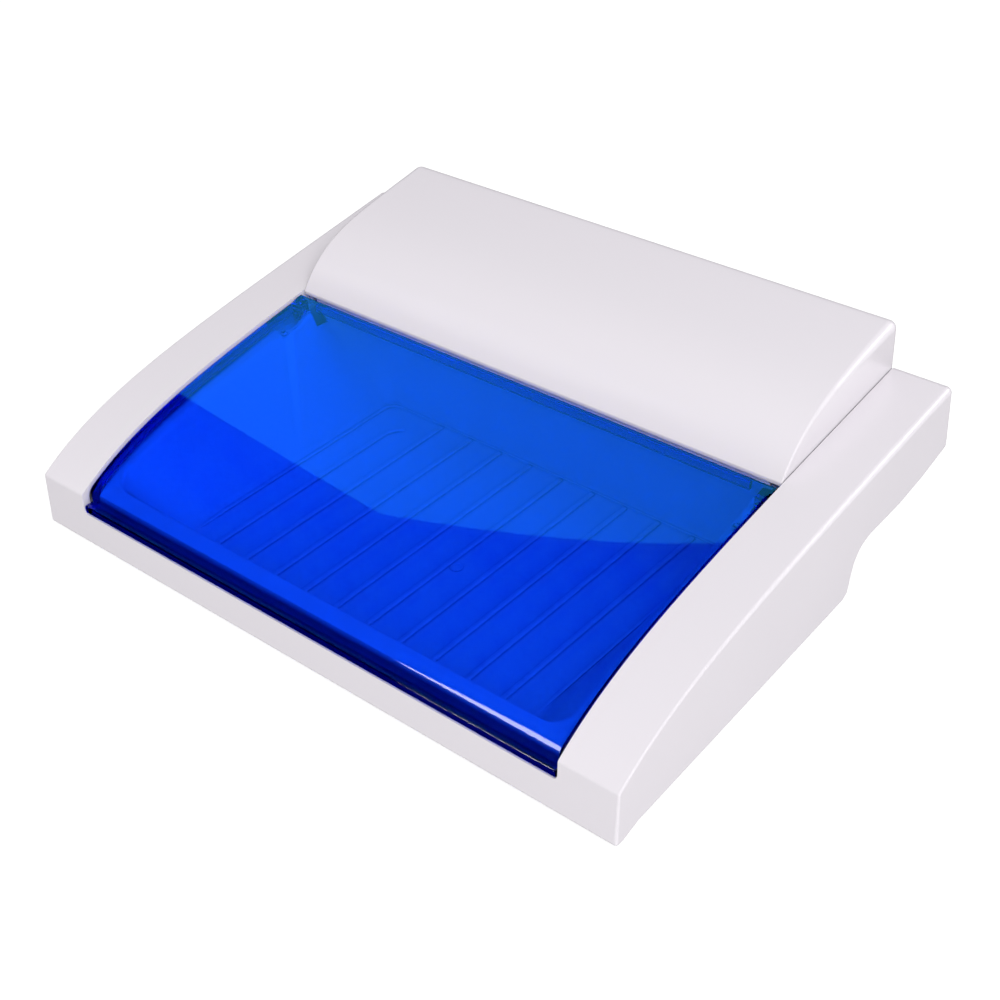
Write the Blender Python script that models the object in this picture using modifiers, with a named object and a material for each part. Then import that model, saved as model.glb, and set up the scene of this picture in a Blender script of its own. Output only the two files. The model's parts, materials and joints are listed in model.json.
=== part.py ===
"""Desktop UV steriliser cabinet with a lift-up tinted lid.

Lengths are in metres. Every piece hangs from one empty, whose own frame is used for all
the dimensions below: x runs across the cabinet from its middle, y runs back from the
front wall, and z runs up from the lower edge of the front wall.
"""
import bpy
import bmesh
from math import cos, exp, pi, radians, sin
from mathutils import Matrix, Vector

# ---------------------------------------------------------------- driving dimensions
WIDTH = 0.380                 # outside of the two cheeks
DEPTH = 0.274                 # front wall to the back of the cheeks
FOOT_HEIGHT = 0.0045          # rubber feet below the lower edge of the front wall
GAP = 0.0003                  # clearance between neighbouring pieces

SHELL_WALL = 0.0025
SHELL_ROUND = 0.0028          # rounding of the shell's outer edges
SHELL_LEAN = 0.0023           # the front wall leans back by this much at its top
FRONT_INNER_Y = 0.0042
CHEEK_INNER_X = 0.158         # inner faces of the cheeks, above the ledge
LEDGE_INNER_X = 0.1535        # inner faces of the cheeks, below the ledge
CHEEK_REAR_Y = 0.2705         # inside of the cheeks' rear walls
NOTCH_Z = 0.0187              # top of the front wall between the cheeks
NOTCH_ROUND = 0.003
HOOD_SEAT_DROP = 0.012        # hood seat below the cheek tops
HINGE_POCKET = (0.1475, 0.1695, 0.0585)   # y start, y end, z of the ledge at the hinges

CHEEK_FRONT_Z = 0.028         # cheek top height carried forward to y = 0
CHEEK_SLOPE = 0.132           # slope that the cheek top settles to
CHEEK_RISE = 0.0254           # extra height gained by the curved front stretch
CHEEK_CURVE = 0.0439          # length over which it is gained

ARCH_Y = 0.118                # highest point of the arch under each cheek
ARCH_Z = 0.0188
ARCH_FRONT_SPAN = 0.112
ARCH_REAR_SPAN = 0.1456
ARCH_END_Y = 0.179

HOOD_FRONT_Y = 0.1705
HOOD_FRONT_Z = 0.075
HOOD_REAR_Y = 0.2724
HOOD_SLOPE = 0.16
HOOD_RISE = 0.0243
HOOD_CURVE = 0.0183
HOOD_ROUND = 0.0035
HOOD_HALF = CHEEK_INNER_X - 0.0004
HOOD_REAR_Z = 0.086           # lower edge of the hood's rear wall

HINGE_Y = 0.1625
HINGE_Z = 0.0665
PIN_RADIUS = 0.0015
PIN_SLACK = 0.0002            # radial clearance around the pin
PIN_INNER_X = 0.1512          # inner end of the pin
BUSH_RADIUS = 0.0029
CORNER_SWING = 0.0098         # radius cleared in the tray's rim for the lid's rear corners

LID_WALL = 0.0026
LID_HALF = CHEEK_INNER_X - 0.0006
LID_FRONT_Y = 0.0052
LID_REAR_Y = 0.1678
LID_BOTTOM_Z = NOTCH_Z + 0.0005
LID_RECESS = 0.0008           # lid surface below the cheek tops
LID_FLANGE = 0.0062           # depth of the flange down each side
LID_NOSE = 0.0055             # rounding radius over the front
LID_ROUND = 0.0028
LUG_INNER_X = 0.1506
LUG_OUTER_X = 0.1556

TRAY_WALL = 0.002
TRAY_FLOOR_Z = 0.0036
TRAY_FLOOR_HALF = 0.118
TRAY_FLOOR_FRONT_Y = 0.028
TRAY_REAR_Y = 0.192
TRAY_RIM_HALF = 0.150
TRAY_RIM_FRONT_Y = 0.0175
TRAY_SHELF_Z = 0.066          # shelf behind the chamber that carries the lamp
TRAY_SHELF_REAR_Y = 0.222
TRAY_FLOOR_CORNER = 0.010
TRAY_RIM_CORNER = 0.012
RIB_COUNT = 10
RIB_PITCH = 0.0216
RIB_WIDTH = 0.003
RIB_HEIGHT = 0.0012

PAN_WALL = 0.0018
PAN_TOP_Z = TRAY_FLOOR_Z - TRAY_WALL - GAP
PAN_HALF = 0.1745
PAN_FRONT_Y = 0.011
PAN_REAR_Y = 0.199
SHELF_HALF = LEDGE_INNER_X - 0.0004
SHELF_FRONT_Z = 0.0425
SHELF_REAR = (0.268, 0.0505)

SCREW_CLEARANCE = 0.0018      # radius of a hole that a screw passes through
SCREW_PILOT = 0.0015          # radius of a hole that a screw bites into
HOLDER_SCREW_X = 0.1485
HOLDER_SCREW_Y = 0.204

BOSS_X = 0.166
BOSS_YS = (0.042, 0.150)
FOOT_X = 0.146
FOOT_YS = (0.026, 0.180)

PANEL_Y = (0.2645, 0.2670)
PANEL_Z = (0.0526, 0.0965)
SWITCH_X = 0.105
GLAND_X = -0.105
OUTLET_Z = 0.0700
HOOD_SCREW_X = 0.125
HOOD_SCREW_Z = 0.0912

LAMP_Y = 0.199
LAMP_Z = 0.0825
LAMP_RADIUS = 0.008
LAMP_HALF = 0.1441            # half the length over the caps
CAP_LENGTH = 0.010
CAP_PIN_OFFSET = 0.0025

BALLAST_X = -0.030
BALLAST_Y = 0.243
BALLAST_SIZE = (0.086, 0.030, 0.026)
BALLAST_BASE = 0.112
COMPONENT_Z = 0.0520          # underside of what stands on the rear shelf
STARTER_X = 0.054
TERMINAL_X = -0.122


# ------------------------------------------------------------------- scene and helpers
def clear_scene():
    for obj in list(bpy.data.objects):
        bpy.data.objects.remove(obj, do_unlink=True)


def new_collection(name):
    collection = bpy.data.collections.new(name)
    bpy.context.scene.collection.children.link(collection)
    return collection


clear_scene()
PARTS = new_collection("uv_steriliser_cabinet")
CUTTERS = new_collection("cutters")

ORIGIN = bpy.data.objects.new("cabinet_origin", None)
ORIGIN.location = (0.0, -DEPTH / 2, FOOT_HEIGHT)
PARTS.objects.link(ORIGIN)


def make_material(name, colour, roughness, metallic=0.0, alpha=1.0):
    material = bpy.data.materials.new(name)
    material.use_nodes = True
    shader = material.node_tree.nodes["Principled BSDF"]
    shader.inputs["Base Color"].default_value = (*colour, 1.0)
    shader.inputs["Roughness"].default_value = roughness
    shader.inputs["Metallic"].default_value = metallic
    shader.inputs["Alpha"].default_value = alpha
    return material


WHITE = make_material("white_moulding", (0.80, 0.78, 0.81), 0.22)
GREY = make_material("grey_pan", (0.62, 0.62, 0.64), 0.45)
BLUE = make_material("blue_lid", (0.0, 0.07, 0.75), 0.06, alpha=0.55)
RUBBER = make_material("black_rubber", (0.03, 0.03, 0.03), 0.8)
BLACK = make_material("black_plastic", (0.02, 0.02, 0.022), 0.35)
STEEL = make_material("steel", (0.62, 0.62, 0.63), 0.3, metallic=1.0)
ALUMINIUM = make_material("aluminium", (0.86, 0.86, 0.87), 0.18, metallic=1.0)
GLASS = make_material("lamp_glass", (0.90, 0.92, 0.95), 0.05, alpha=0.6)
NYLON = make_material("nylon", (0.75, 0.74, 0.70), 0.5)
WIRE_WHITE = make_material("wire_sheath", (0.80, 0.80, 0.78), 0.5)


def add_object(name, mesh, material, collection, location=(0.0, 0.0, 0.0)):
    obj = bpy.data.objects.new(name, mesh)
    collection.objects.link(obj)
    obj.parent = ORIGIN
    obj.location = location
    if material:
        mesh.materials.clear()
        mesh.materials.append(material)
    return obj


def as_cutter(obj):
    obj.hide_render = True
    obj.display_type = "WIRE"
    return obj


def place(name, mesh, material=None, location=(0.0, 0.0, 0.0)):
    """A part when it has a material, and a wire cutter when it has none."""
    if material:
        return add_object(name, mesh, material, PARTS, location)
    return as_cutter(add_object(name, mesh, None, CUTTERS, location))


def box(name, x_range, y_range, z_range, material=None):
    """A box between three pairs of limits, with its origin at its middle."""
    size = [b - a for a, b in (x_range, y_range, z_range)]
    middle = [(a + b) / 2 for a, b in (x_range, y_range, z_range)]
    bm = bmesh.new()
    bmesh.ops.create_cube(bm, size=1.0)
    bmesh.ops.scale(bm, vec=size, verts=bm.verts)
    mesh = bpy.data.meshes.new(name)
    bm.to_mesh(mesh)
    bm.free()
    return place(name, mesh, material, middle)


def axis_rotation(axis):
    """Turns a solid built along z so that it points along the named axis."""
    turns = {
        "x": Matrix.Rotation(pi / 2, 4, "Y"),
        "y": Matrix.Rotation(-pi / 2, 4, "X"),
        "z": Matrix.Identity(4),
        "-x": Matrix.Rotation(-pi / 2, 4, "Y"),
        "-z": Matrix.Rotation(pi, 4, "X"),
    }
    return turns[axis]


def cylinder(name, radius, start, length, axis, material=None, sides=24):
    """A cylinder that begins at the start point and runs along the axis."""
    bm = bmesh.new()
    bmesh.ops.create_cone(bm, cap_ends=True, segments=sides,
                          radius1=radius, radius2=radius, depth=length)
    bmesh.ops.translate(bm, vec=(0.0, 0.0, length / 2), verts=bm.verts)
    mesh = bpy.data.meshes.new(name)
    bm.to_mesh(mesh)
    bm.free()
    mesh.transform(axis_rotation(axis))
    obj = place(name, mesh, material, start)
    smooth(mesh)
    return obj


def smooth(mesh, angle=35):
    mesh.shade_smooth()
    mesh.set_sharp_from_angle(angle=radians(angle))


def mesh_from_curve(name, curve):
    """The mesh of a curve, with its loose caps welded and their triangles merged."""
    holder = bpy.data.objects.new(name + "_outline", curve)
    bpy.context.scene.collection.objects.link(holder)
    graph = bpy.context.evaluated_depsgraph_get()
    mesh = bpy.data.meshes.new_from_object(holder.evaluated_get(graph))
    bpy.data.objects.remove(holder)
    bm = bmesh.new()
    bm.from_mesh(mesh)
    bmesh.ops.remove_doubles(bm, verts=bm.verts, dist=0.00001)
    bmesh.ops.dissolve_limit(bm, angle_limit=0.002, verts=bm.verts, edges=bm.edges)
    bmesh.ops.recalc_face_normals(bm, faces=bm.faces)
    bm.to_mesh(mesh)
    bm.free()
    return mesh


def slab(name, points, span, plane, material=None, origin=(0.0, 0.0, 0.0)):
    """A flat outline given thickness along the axis that its plane leaves out.

    The outline's points are (y, z) for plane "yz" and (x, y) for plane "xy", and the
    span is the range along the remaining axis.
    """
    curve = bpy.data.curves.new(name, "CURVE")
    curve.dimensions = "2D"
    curve.fill_mode = "BOTH"
    curve.extrude = (span[1] - span[0]) / 2
    spline = curve.splines.new("POLY")
    spline.points.add(len(points) - 1)
    for point, (a, b) in zip(spline.points, points):
        point.co = (a, b, 0.0, 1.0)
    spline.use_cyclic_u = True
    mesh = mesh_from_curve(name, curve)
    middle = (span[0] + span[1]) / 2
    if plane == "yz":
        mesh.transform(Matrix.Rotation(pi / 2, 4, "Z") @ Matrix.Rotation(pi / 2, 4, "X"))
        shift = Vector((middle, 0.0, 0.0))
    else:
        shift = Vector((0.0, 0.0, middle))
    mesh.transform(Matrix.Translation(shift - Vector(origin)))
    return place(name, mesh, material, origin)


def turned(name, profile, start, axis, material, steps=24, ring=False):
    """A turned solid: (radius, height) pairs from the top down its outer side.

    A ring's profile closes on itself, and any other starts and ends on the axis.
    """
    mesh = bpy.data.meshes.new(name)
    bm = bmesh.new()
    verts = [bm.verts.new((radius, 0.0, height)) for radius, height in profile]
    if ring:
        verts.append(verts[0])
    for a, b in zip(verts, verts[1:]):
        bm.edges.new((a, b))
    bm.to_mesh(mesh)
    bm.free()
    obj = place(name, mesh, material, start)
    obj.rotation_euler = axis_rotation(axis).to_euler()
    screw = obj.modifiers.new("turn", "SCREW")
    screw.steps = steps
    screw.render_steps = steps
    screw.use_merge_vertices = True
    screw.merge_threshold = 0.00001
    screw.use_smooth_shade = True
    return obj


def bevel(obj, width, segments=3, angle=40):
    modifier = obj.modifiers.new("round_edges", "BEVEL")
    modifier.width = width
    modifier.segments = segments
    modifier.limit_method = "ANGLE"
    modifier.angle_limit = radians(angle)
    modifier.use_clamp_overlap = False
    return obj


def boolean(obj, other, operation):
    modifier = obj.modifiers.new(operation.lower() + "_" + other.name, "BOOLEAN")
    modifier.operation = operation
    modifier.solver = "EXACT"
    modifier.object = other
    return obj


def cut(obj, *others):
    for other in others:
        boolean(obj, other, "DIFFERENCE")
    return obj


def join(obj, *others):
    for other in others:
        boolean(obj, other, "UNION")
    return obj


def steps_between(start, end, step):
    """Evenly spaced values from start to end, about one step apart, ends included."""
    count = max(1, round((end - start) / step))
    return [start + (end - start) * i / count for i in range(count + 1)]


def arc(centre, radius, start, end, count):
    """Points on an arc between two angles in degrees."""
    angles = [radians(start + (end - start) * i / count) for i in range(count + 1)]
    return [(centre[0] + radius * cos(a), centre[1] + radius * sin(a)) for a in angles]


# -------------------------------------------------------------------- shared outlines
def cheek_top(y):
    return CHEEK_FRONT_Z + CHEEK_SLOPE * y + CHEEK_RISE * (1 - exp(-y / CHEEK_CURVE))


def hood_top(y):
    run = y - HOOD_FRONT_Y
    return HOOD_FRONT_Z + HOOD_SLOPE * run + HOOD_RISE * (1 - exp(-run / HOOD_CURVE))


def arch(y):
    span = ARCH_FRONT_SPAN if y < ARCH_Y else ARCH_REAR_SPAN
    return ARCH_Z * (1 - ((y - ARCH_Y) / span) ** 2)


def tray_rim(y):
    return cheek_top(y) - 0.0078 - 0.02 * y


def ledge_points(drop):
    """The ledge inside each cheek, front to back, lowered by the drop."""
    pocket_start, pocket_end, pocket_z = HINGE_POCKET
    tray_ledge = 1.2 * TRAY_WALL + GAP
    points = [(0.014, NOTCH_Z + 0.0002)]
    points += [(y, tray_rim(y) - tray_ledge) for y in steps_between(0.018, pocket_start, 0.013)]
    points += [(pocket_start + 0.0005, pocket_z), (pocket_end, pocket_z)]
    points += [(y, cheek_top(y) - HOOD_SEAT_DROP)
               for y in steps_between(pocket_end + 0.0003, CHEEK_REAR_Y, 0.025)]
    return [(y, z - drop) for y, z in points]


# ------------------------------------------------------------------------ base shell
def shell_outline():
    """Side view of the cheeks: front wall, curved top, overhanging tail, arched skirt."""
    front = [(0.0, 0.0), (SHELL_LEAN, cheek_top(SHELL_LEAN))]
    top = [(y, cheek_top(y)) for y in steps_between(0.008, 0.128, 0.008)]
    top += [(y, cheek_top(y)) for y in steps_between(0.145, DEPTH - 0.0018, 0.025)]
    tail = [(DEPTH, 0.0525), (0.228, 0.0437), (0.205, 0.0425), (0.196, 0.0410),
            (0.1895, 0.0375), (0.1862, 0.0325), (0.1845, 0.0265), (0.1825, 0.0172)]
    skirt = [(y, arch(y)) for y in steps_between(ARCH_END_Y, 0.020, 0.012)]
    skirt += [(0.0085, 0.0008), (0.006, 0.0)]
    return front + top + tail + skirt


def shell_cavities():
    """Cutters that hollow both cheeks from below and leave a ledge on their inner walls."""
    low, front = -0.05, FRONT_INNER_Y + 0.0004
    under_ledge = [(front + 0.0005, low), (front + 0.0005, NOTCH_Z - SHELL_WALL)]
    under_ledge += [p for p in ledge_points(SHELL_WALL) if p[0] < CHEEK_REAR_Y - 0.001]
    rear = CHEEK_REAR_Y - 0.0005
    under_ledge += [(rear, under_ledge[-1][1]), (rear, low)]
    under_top = [(front, low)]
    under_top += [(y, cheek_top(y) - SHELL_WALL) for y in steps_between(front, CHEEK_REAR_Y, 0.012)]
    under_top += [(CHEEK_REAR_Y, low)]
    outer = WIDTH / 2 - SHELL_WALL
    overlap = CHEEK_INNER_X + SHELL_WALL + 0.002
    cutters = []
    for side in (-1, 1):
        ledge_span = sorted((side * (LEDGE_INNER_X + SHELL_WALL), side * overlap))
        top_span = sorted((side * (CHEEK_INNER_X + SHELL_WALL), side * outer))
        cutters.append(slab("ledge_cavity", under_ledge, ledge_span, "yz"))
        cutters.append(slab("cheek_cavity", under_top, top_span, "yz"))
    return cutters


def shell_openings():
    """Cutters for the opening between the cheeks and the notch that the lid's lip fills."""
    above = 0.150
    upper = [(FRONT_INNER_Y, NOTCH_Z + 0.0002)] + ledge_points(0.0)
    upper += [(0.290, cheek_top(0.290) - HOOD_SEAT_DROP), (0.290, above), (FRONT_INNER_Y, above)]
    upper_cutter = slab("upper_opening", upper, (-CHEEK_INNER_X, CHEEK_INNER_X), "yz")
    lower_cutter = box("lower_opening", (-LEDGE_INNER_X, LEDGE_INNER_X),
                       (FRONT_INNER_Y, 0.290), (-0.050, above))
    notch = box("front_notch", (-CHEEK_INNER_X, CHEEK_INNER_X), (-0.010, 0.012),
                (NOTCH_Z, 0.080))
    bevel(notch, NOTCH_ROUND, 4)
    return [upper_cutter, lower_cutter, notch]


def shell_bosses(shell):
    """Screw bosses that hang from the cheek tops down to the pan."""
    low = PAN_TOP_Z + 0.0004
    for side in (-1, 1):
        for y in BOSS_YS:
            height = cheek_top(y) - 0.0014 - low
            boss = cylinder("boss", 0.004, (side * BOSS_X, y, low), height, "z", sides=20)
            hole = cylinder("boss_hole", SCREW_PILOT, (side * BOSS_X, y, low - 0.002), 0.016, "z",
                            sides=16)
            join(shell, boss)
            cut(shell, hole)


def base_shell():
    shell = slab("base_shell", shell_outline(), (-WIDTH / 2, WIDTH / 2), "yz", WHITE)
    bevel(shell, SHELL_ROUND, 3)
    cut(shell, *shell_openings())
    cut(shell, *shell_cavities())
    shell_bosses(shell)
    hinge_hole = cylinder("hinge_holes", BUSH_RADIUS + GAP, (-0.170, HINGE_Y, HINGE_Z), 0.340, "x")
    cut(shell, hinge_hole)
    return shell


# ------------------------------------------------------------------------ bottom pan
def shelf_strip():
    """Riser behind the chamber and the sloping shelf that closes the tail from below."""
    rear_y, rear_z = SHELF_REAR
    low = PAN_TOP_Z - PAN_WALL
    return [(PAN_REAR_Y - PAN_WALL, low + 0.0004), (PAN_REAR_Y, low + 0.0004),
            (PAN_REAR_Y, SHELF_FRONT_Z), (rear_y, rear_z), (rear_y, rear_z + PAN_WALL),
            (PAN_REAR_Y - PAN_WALL, SHELF_FRONT_Z + PAN_WALL)]


def bottom_pan():
    low = PAN_TOP_Z - PAN_WALL
    pan = box("bottom_pan", (-PAN_HALF, PAN_HALF), (PAN_FRONT_Y, PAN_REAR_Y), (low, PAN_TOP_Z), GREY)
    wall_low = low + 0.0004
    for side in (-1, 1):
        span = sorted((side * PAN_HALF, side * (PAN_HALF - PAN_WALL)))
        join(pan, box("pan_side", span, (PAN_FRONT_Y + 0.0003, PAN_REAR_Y - 0.0003), (wall_low, 0.026)))
    join(pan, box("pan_front", (-0.150, 0.150), (PAN_FRONT_Y + 0.0003, PAN_FRONT_Y + PAN_WALL),
                  (wall_low, 0.012)))
    join(pan, box("pan_rear", (-PAN_HALF + 0.0004, PAN_HALF - 0.0004),
                  (PAN_REAR_Y - PAN_WALL - 0.0004, PAN_REAR_Y - 0.0004), (wall_low, 0.026)))
    join(pan, slab("pan_shelf", shelf_strip(), (-SHELF_HALF, SHELF_HALF), "yz"))
    for side in (-1, 1):
        for y in BOSS_YS:
            cut(pan, cylinder("pan_screw_hole", SCREW_CLEARANCE, (side * BOSS_X, y, -0.01), 0.02, "z",
                              sides=16))
        for y in FOOT_YS:
            cut(pan, cylinder("foot_hole", 0.0024, (side * FOOT_X, y, -0.01), 0.02, "z", sides=16))
        cut(pan, cylinder("ballast_hole", SCREW_CLEARANCE, (ballast_screw_x(side), BALLAST_Y, 0.040),
                          0.02, "z", sides=16))
    return pan


# ------------------------------------------------------------------------ inner tray
def tray_stations():
    """Matching (x, y) points on the floor's edge and (x, y, z) points on the rim.

    They run along one half, from the middle of the front to the middle of the rear.
    """
    floor, rim = [], []
    corner_x = TRAY_FLOOR_HALF - TRAY_FLOOR_CORNER
    rim_corner_x = TRAY_RIM_HALF - TRAY_RIM_CORNER
    for i in range(5):
        floor.append((corner_x * i / 5, TRAY_FLOOR_FRONT_Y))
        rim.append((rim_corner_x * i / 5, TRAY_RIM_FRONT_Y, tray_rim(TRAY_RIM_FRONT_Y)))
    floor += arc((corner_x, TRAY_FLOOR_FRONT_Y + TRAY_FLOOR_CORNER), TRAY_FLOOR_CORNER, -90, 0, 5)
    for x, y in arc((rim_corner_x, TRAY_RIM_FRONT_Y + TRAY_RIM_CORNER), TRAY_RIM_CORNER, -90, 0, 5):
        rim.append((x, y, tray_rim(y)))
    for i in range(1, 9):
        floor.append((TRAY_FLOOR_HALF, 0.038 + 0.079 * i / 8))
        y = 0.0295 + 0.115 * i / 8
        rim.append((TRAY_RIM_HALF, y, tray_rim(y)))
    rim_end = [(0.1474, 0.1480), (0.1474, 0.1580), (0.1474, 0.1680), (0.1450, 0.1760),
               (0.1385, 0.1830), (0.1300, 0.1880), (0.1180, TRAY_REAR_Y)]
    floor_end = [(0.118, 0.127), (0.118, 0.137), (0.118, 0.149), (0.118, 0.161),
                 (0.118, 0.173), (0.1168, 0.1850), (0.1080, TRAY_REAR_Y)]
    for (fx, fy), (rx, ry) in zip(floor_end, rim_end):
        floor.append((fx, fy))
        blend = min(1.0, max(0.0, (ry - 0.148) / 0.020))
        rim.append((rx, ry, tray_rim(0.1445) * (1 - blend) + TRAY_SHELF_Z * blend))
    for i in range(1, 6):
        floor.append((0.108 * (1 - i / 5), TRAY_REAR_Y))
        rim.append((0.118 * (1 - i / 5), TRAY_REAR_Y, TRAY_SHELF_Z))
    return floor, rim


def flange_point(x, y, z):
    """Outer edge of the rim's flange beside a point of the rim."""
    front_y, side_x, lug_x, shelf_x = 0.0142, CHEEK_INNER_X - 0.0005, 0.1496, 0.1526
    if y <= TRAY_RIM_FRONT_Y + 0.0001:
        return x * side_x / TRAY_RIM_HALF, front_y, tray_rim(front_y)
    if y < 0.030:
        outer_y = front_y + (y - TRAY_RIM_FRONT_Y) * 1.2
        return side_x, outer_y, tray_rim(outer_y)
    if y <= 0.1446:
        return side_x, y, z
    if y < 0.169:
        return lug_x, y, z
    if y < TRAY_REAR_Y - 0.0001:
        return shelf_x, 0.172 + (y - 0.176) * 3.8, TRAY_SHELF_Z
    return x * shelf_x / 0.118, TRAY_SHELF_REAR_Y, TRAY_SHELF_Z


def mirrored(points):
    """A closed ring from one half of it, which starts and ends on the middle plane."""
    left = [(-p[0], *p[1:]) for p in reversed(points[1:-1])]
    return list(points) + left


def tray_rings():
    floor, rim = tray_stations()
    flange = [flange_point(*p) for p in rim]
    inset = [(x * 0.982, 0.110 + (y - 0.110) * 0.972, TRAY_FLOOR_Z) for x, y in floor]
    fillet = [(x, y, TRAY_FLOOR_Z + 0.0012) for x, y in floor]
    middle = []
    for (fx, fy), (rx, ry, rz) in zip(floor, rim):
        middle.append(((fx + rx) / 2, (fy + ry) / 2, (TRAY_FLOOR_Z + rz) / 2))
    return [mirrored(r) for r in (inset, fillet, middle, rim, flange)]


def tray_skin():
    """The tray's upper surface: a floor, then a loft outward through the rings."""
    bm = bmesh.new()
    rows = [[bm.verts.new(p) for p in ring] for ring in tray_rings()]
    bm.faces.new(rows[0])
    for inner, outer in zip(rows, rows[1:]):
        count = len(inner)
        for i in range(count):
            j = (i + 1) % count
            bm.faces.new((inner[i], outer[i], outer[j], inner[j]))
    bmesh.ops.recalc_face_normals(bm, faces=bm.faces)
    mesh = bpy.data.meshes.new("inner_tray")
    bm.to_mesh(mesh)
    bm.free()
    return mesh


def corner_relief(side):
    """Cutter for the notch in the tray's rim that the lid's rear corner swings down into."""
    swing = arc((HINGE_Y, HINGE_Z), CORNER_SWING, -60, 60, 12)
    points = [(HINGE_Y + 0.0035, HINGE_Z - 0.0080)] + swing + [(HINGE_Y + 0.0035, 0.0800)]
    return slab("corner_relief", points, sorted((side * 0.1400, side * 0.1600)), "yz")


def inner_tray():
    tray = place("inner_tray", tray_skin(), WHITE)
    wall = tray.modifiers.new("wall", "SOLIDIFY")
    wall.thickness = TRAY_WALL
    wall.offset = -1.0
    wall.use_even_offset = True
    for i in range(RIB_COUNT):
        x = (i - (RIB_COUNT - 1) / 2) * RIB_PITCH
        rib = box("tray_rib", (x - RIB_WIDTH / 2, x + RIB_WIDTH / 2),
                  (0.033, 0.1885), (TRAY_FLOOR_Z - 0.0006, TRAY_FLOOR_Z + RIB_HEIGHT))
        join(tray, bevel(rib, 0.0005, 1))
    for side in (-1, 1):
        cut(tray, corner_relief(side))
        start = (side * HOLDER_SCREW_X, HOLDER_SCREW_Y, 0.058)
        cut(tray, cylinder("holder_screw_hole", SCREW_CLEARANCE, start, 0.012, "z", sides=16))
    return tray


# ------------------------------------------------------------------------------ hood
def hood_outline(inset, bottom):
    """Front, top and rear of the hood, moved inward by the inset, down to the bottom."""
    top = []
    for y in steps_between(HOOD_FRONT_Y, 0.200, 0.003) + steps_between(0.208, HOOD_REAR_Y, 0.016):
        slope = HOOD_SLOPE + HOOD_RISE / HOOD_CURVE * exp(-(y - HOOD_FRONT_Y) / HOOD_CURVE)
        normal = Vector((slope, -1.0)).normalized() * inset
        top.append((y + normal.x, hood_top(y) + normal.y))
    front = HOOD_FRONT_Y + inset
    rear = HOOD_REAR_Y - inset
    top = [p for p in top if front + 0.0004 < p[0] < rear - 0.0004]
    front_slope = (top[1][1] - top[0][1]) / (top[1][0] - top[0][0])
    front_top = top[0][1] - front_slope * (top[0][0] - front)
    rear_top = top[-1][1] + HOOD_SLOPE * (rear - top[-1][0])
    return [(front, bottom), (front, front_top)] + top + [(rear, rear_top), (rear, bottom)]


def hood_cover():
    hood = slab("hood_cover", hood_outline(0.0, 0.055), (-HOOD_HALF, HOOD_HALF), "yz", WHITE)
    bevel(hood, HOOD_ROUND, 3)
    inner_half = HOOD_HALF - SHELL_WALL
    cavity = slab("hood_cavity", hood_outline(SHELL_WALL, 0.040), (-inner_half, inner_half), "yz")
    seat = [(0.160, 0.030), (0.290, 0.030)]
    seat += [(y, cheek_top(y) - HOOD_SEAT_DROP + GAP) for y in (0.290, 0.250, 0.210, 0.160)]
    below_seat = slab("hood_seat", seat, (-0.2, 0.2), "yz")
    front_window = box("hood_front_window", (-0.2, 0.2), (0.160, 0.1738), (0.050, 0.0730))
    rear_window = box("hood_rear_window", (-inner_half, inner_half), (0.262, 0.280), (0.050, HOOD_REAR_Z))
    cut(hood, cavity, below_seat, front_window, rear_window)
    for side in (-1, 1):
        cut(hood, cylinder("hood_screw_hole", 0.0017, (side * HOOD_SCREW_X, 0.262, HOOD_SCREW_Z), 0.02,
                           "y", sides=16))
    return hood


# ------------------------------------------------------------------------ rear panel
def rear_panel():
    y0, y1 = PANEL_Y
    panel = box("rear_panel", (-SHELF_HALF, SHELF_HALF), PANEL_Y, PANEL_Z, WHITE)
    for i in range(12):
        x = (i - 5.5) * 0.0085
        cut(panel, box("vent_slot", (x - 0.0013, x + 0.0013), (0.260, 0.270), (0.062, 0.079)))
    cut(panel, box("switch_hole", (SWITCH_X - 0.0098, SWITCH_X + 0.0098), (0.260, 0.270),
                   (OUTLET_Z - 0.0068, OUTLET_Z + 0.0068)))
    cut(panel, cylinder("gland_hole", 0.0061, (GLAND_X, 0.260, OUTLET_Z), 0.010, "y"))
    for side in (-1, 1):
        x = side * HOOD_SCREW_X
        boss_length = HOOD_REAR_Y - SHELL_WALL - GAP - y1 + 0.0005
        join(panel, cylinder("panel_boss", 0.0035, (x, y1 - 0.0005, HOOD_SCREW_Z), boss_length, "y"))
        cut(panel, cylinder("panel_hole", 0.0016, (x, y0 - 0.002, HOOD_SCREW_Z), 0.010, "y", sides=16))
    return panel


# ------------------------------------------------------------------------------- lid
def lid_top(y):
    return cheek_top(y) - LID_RECESS


def lid_outline(inset, bottom, rear):
    """The lid in side view: front face, rounded nose, then the long curved top."""
    front = LID_FRONT_Y + inset
    radius = LID_NOSE - inset
    slope_angle = 31
    centre_y = front + radius
    touch_y = centre_y - radius * sin(radians(slope_angle))
    centre_z = lid_top(touch_y + inset) - inset * 1.15 - radius * cos(radians(slope_angle))
    nose = arc((centre_y, centre_z), radius, 180, 90 + slope_angle, 5)
    top = []
    for y in steps_between(0.012, 0.120, 0.009) + steps_between(0.132, rear, 0.012):
        slope = CHEEK_SLOPE + CHEEK_RISE / CHEEK_CURVE * exp(-y / CHEEK_CURVE)
        normal = Vector((slope, -1.0)).normalized() * inset
        top.append((y + normal.x, lid_top(y) + normal.y))
    top = [p for p in top if p[0] < rear - 0.0005]
    end = top[-1][1] + CHEEK_SLOPE * (rear - top[-1][0])
    return [(front, bottom)] + nose + top + [(rear, end), (rear, bottom)]


def lid_under_cutter():
    """Everything below the side flanges, and below the lip at the front."""
    points = [(-0.010, -0.020), (-0.010, LID_BOTTOM_Z), (0.0095, LID_BOTTOM_Z)]
    points += [(y, lid_top(y) - LID_FLANGE * 1.1) for y in steps_between(0.014, 0.180, 0.015)]
    points += [(0.180, -0.020)]
    return slab("lid_underside", points, (-0.2, 0.2), "yz")


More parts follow.
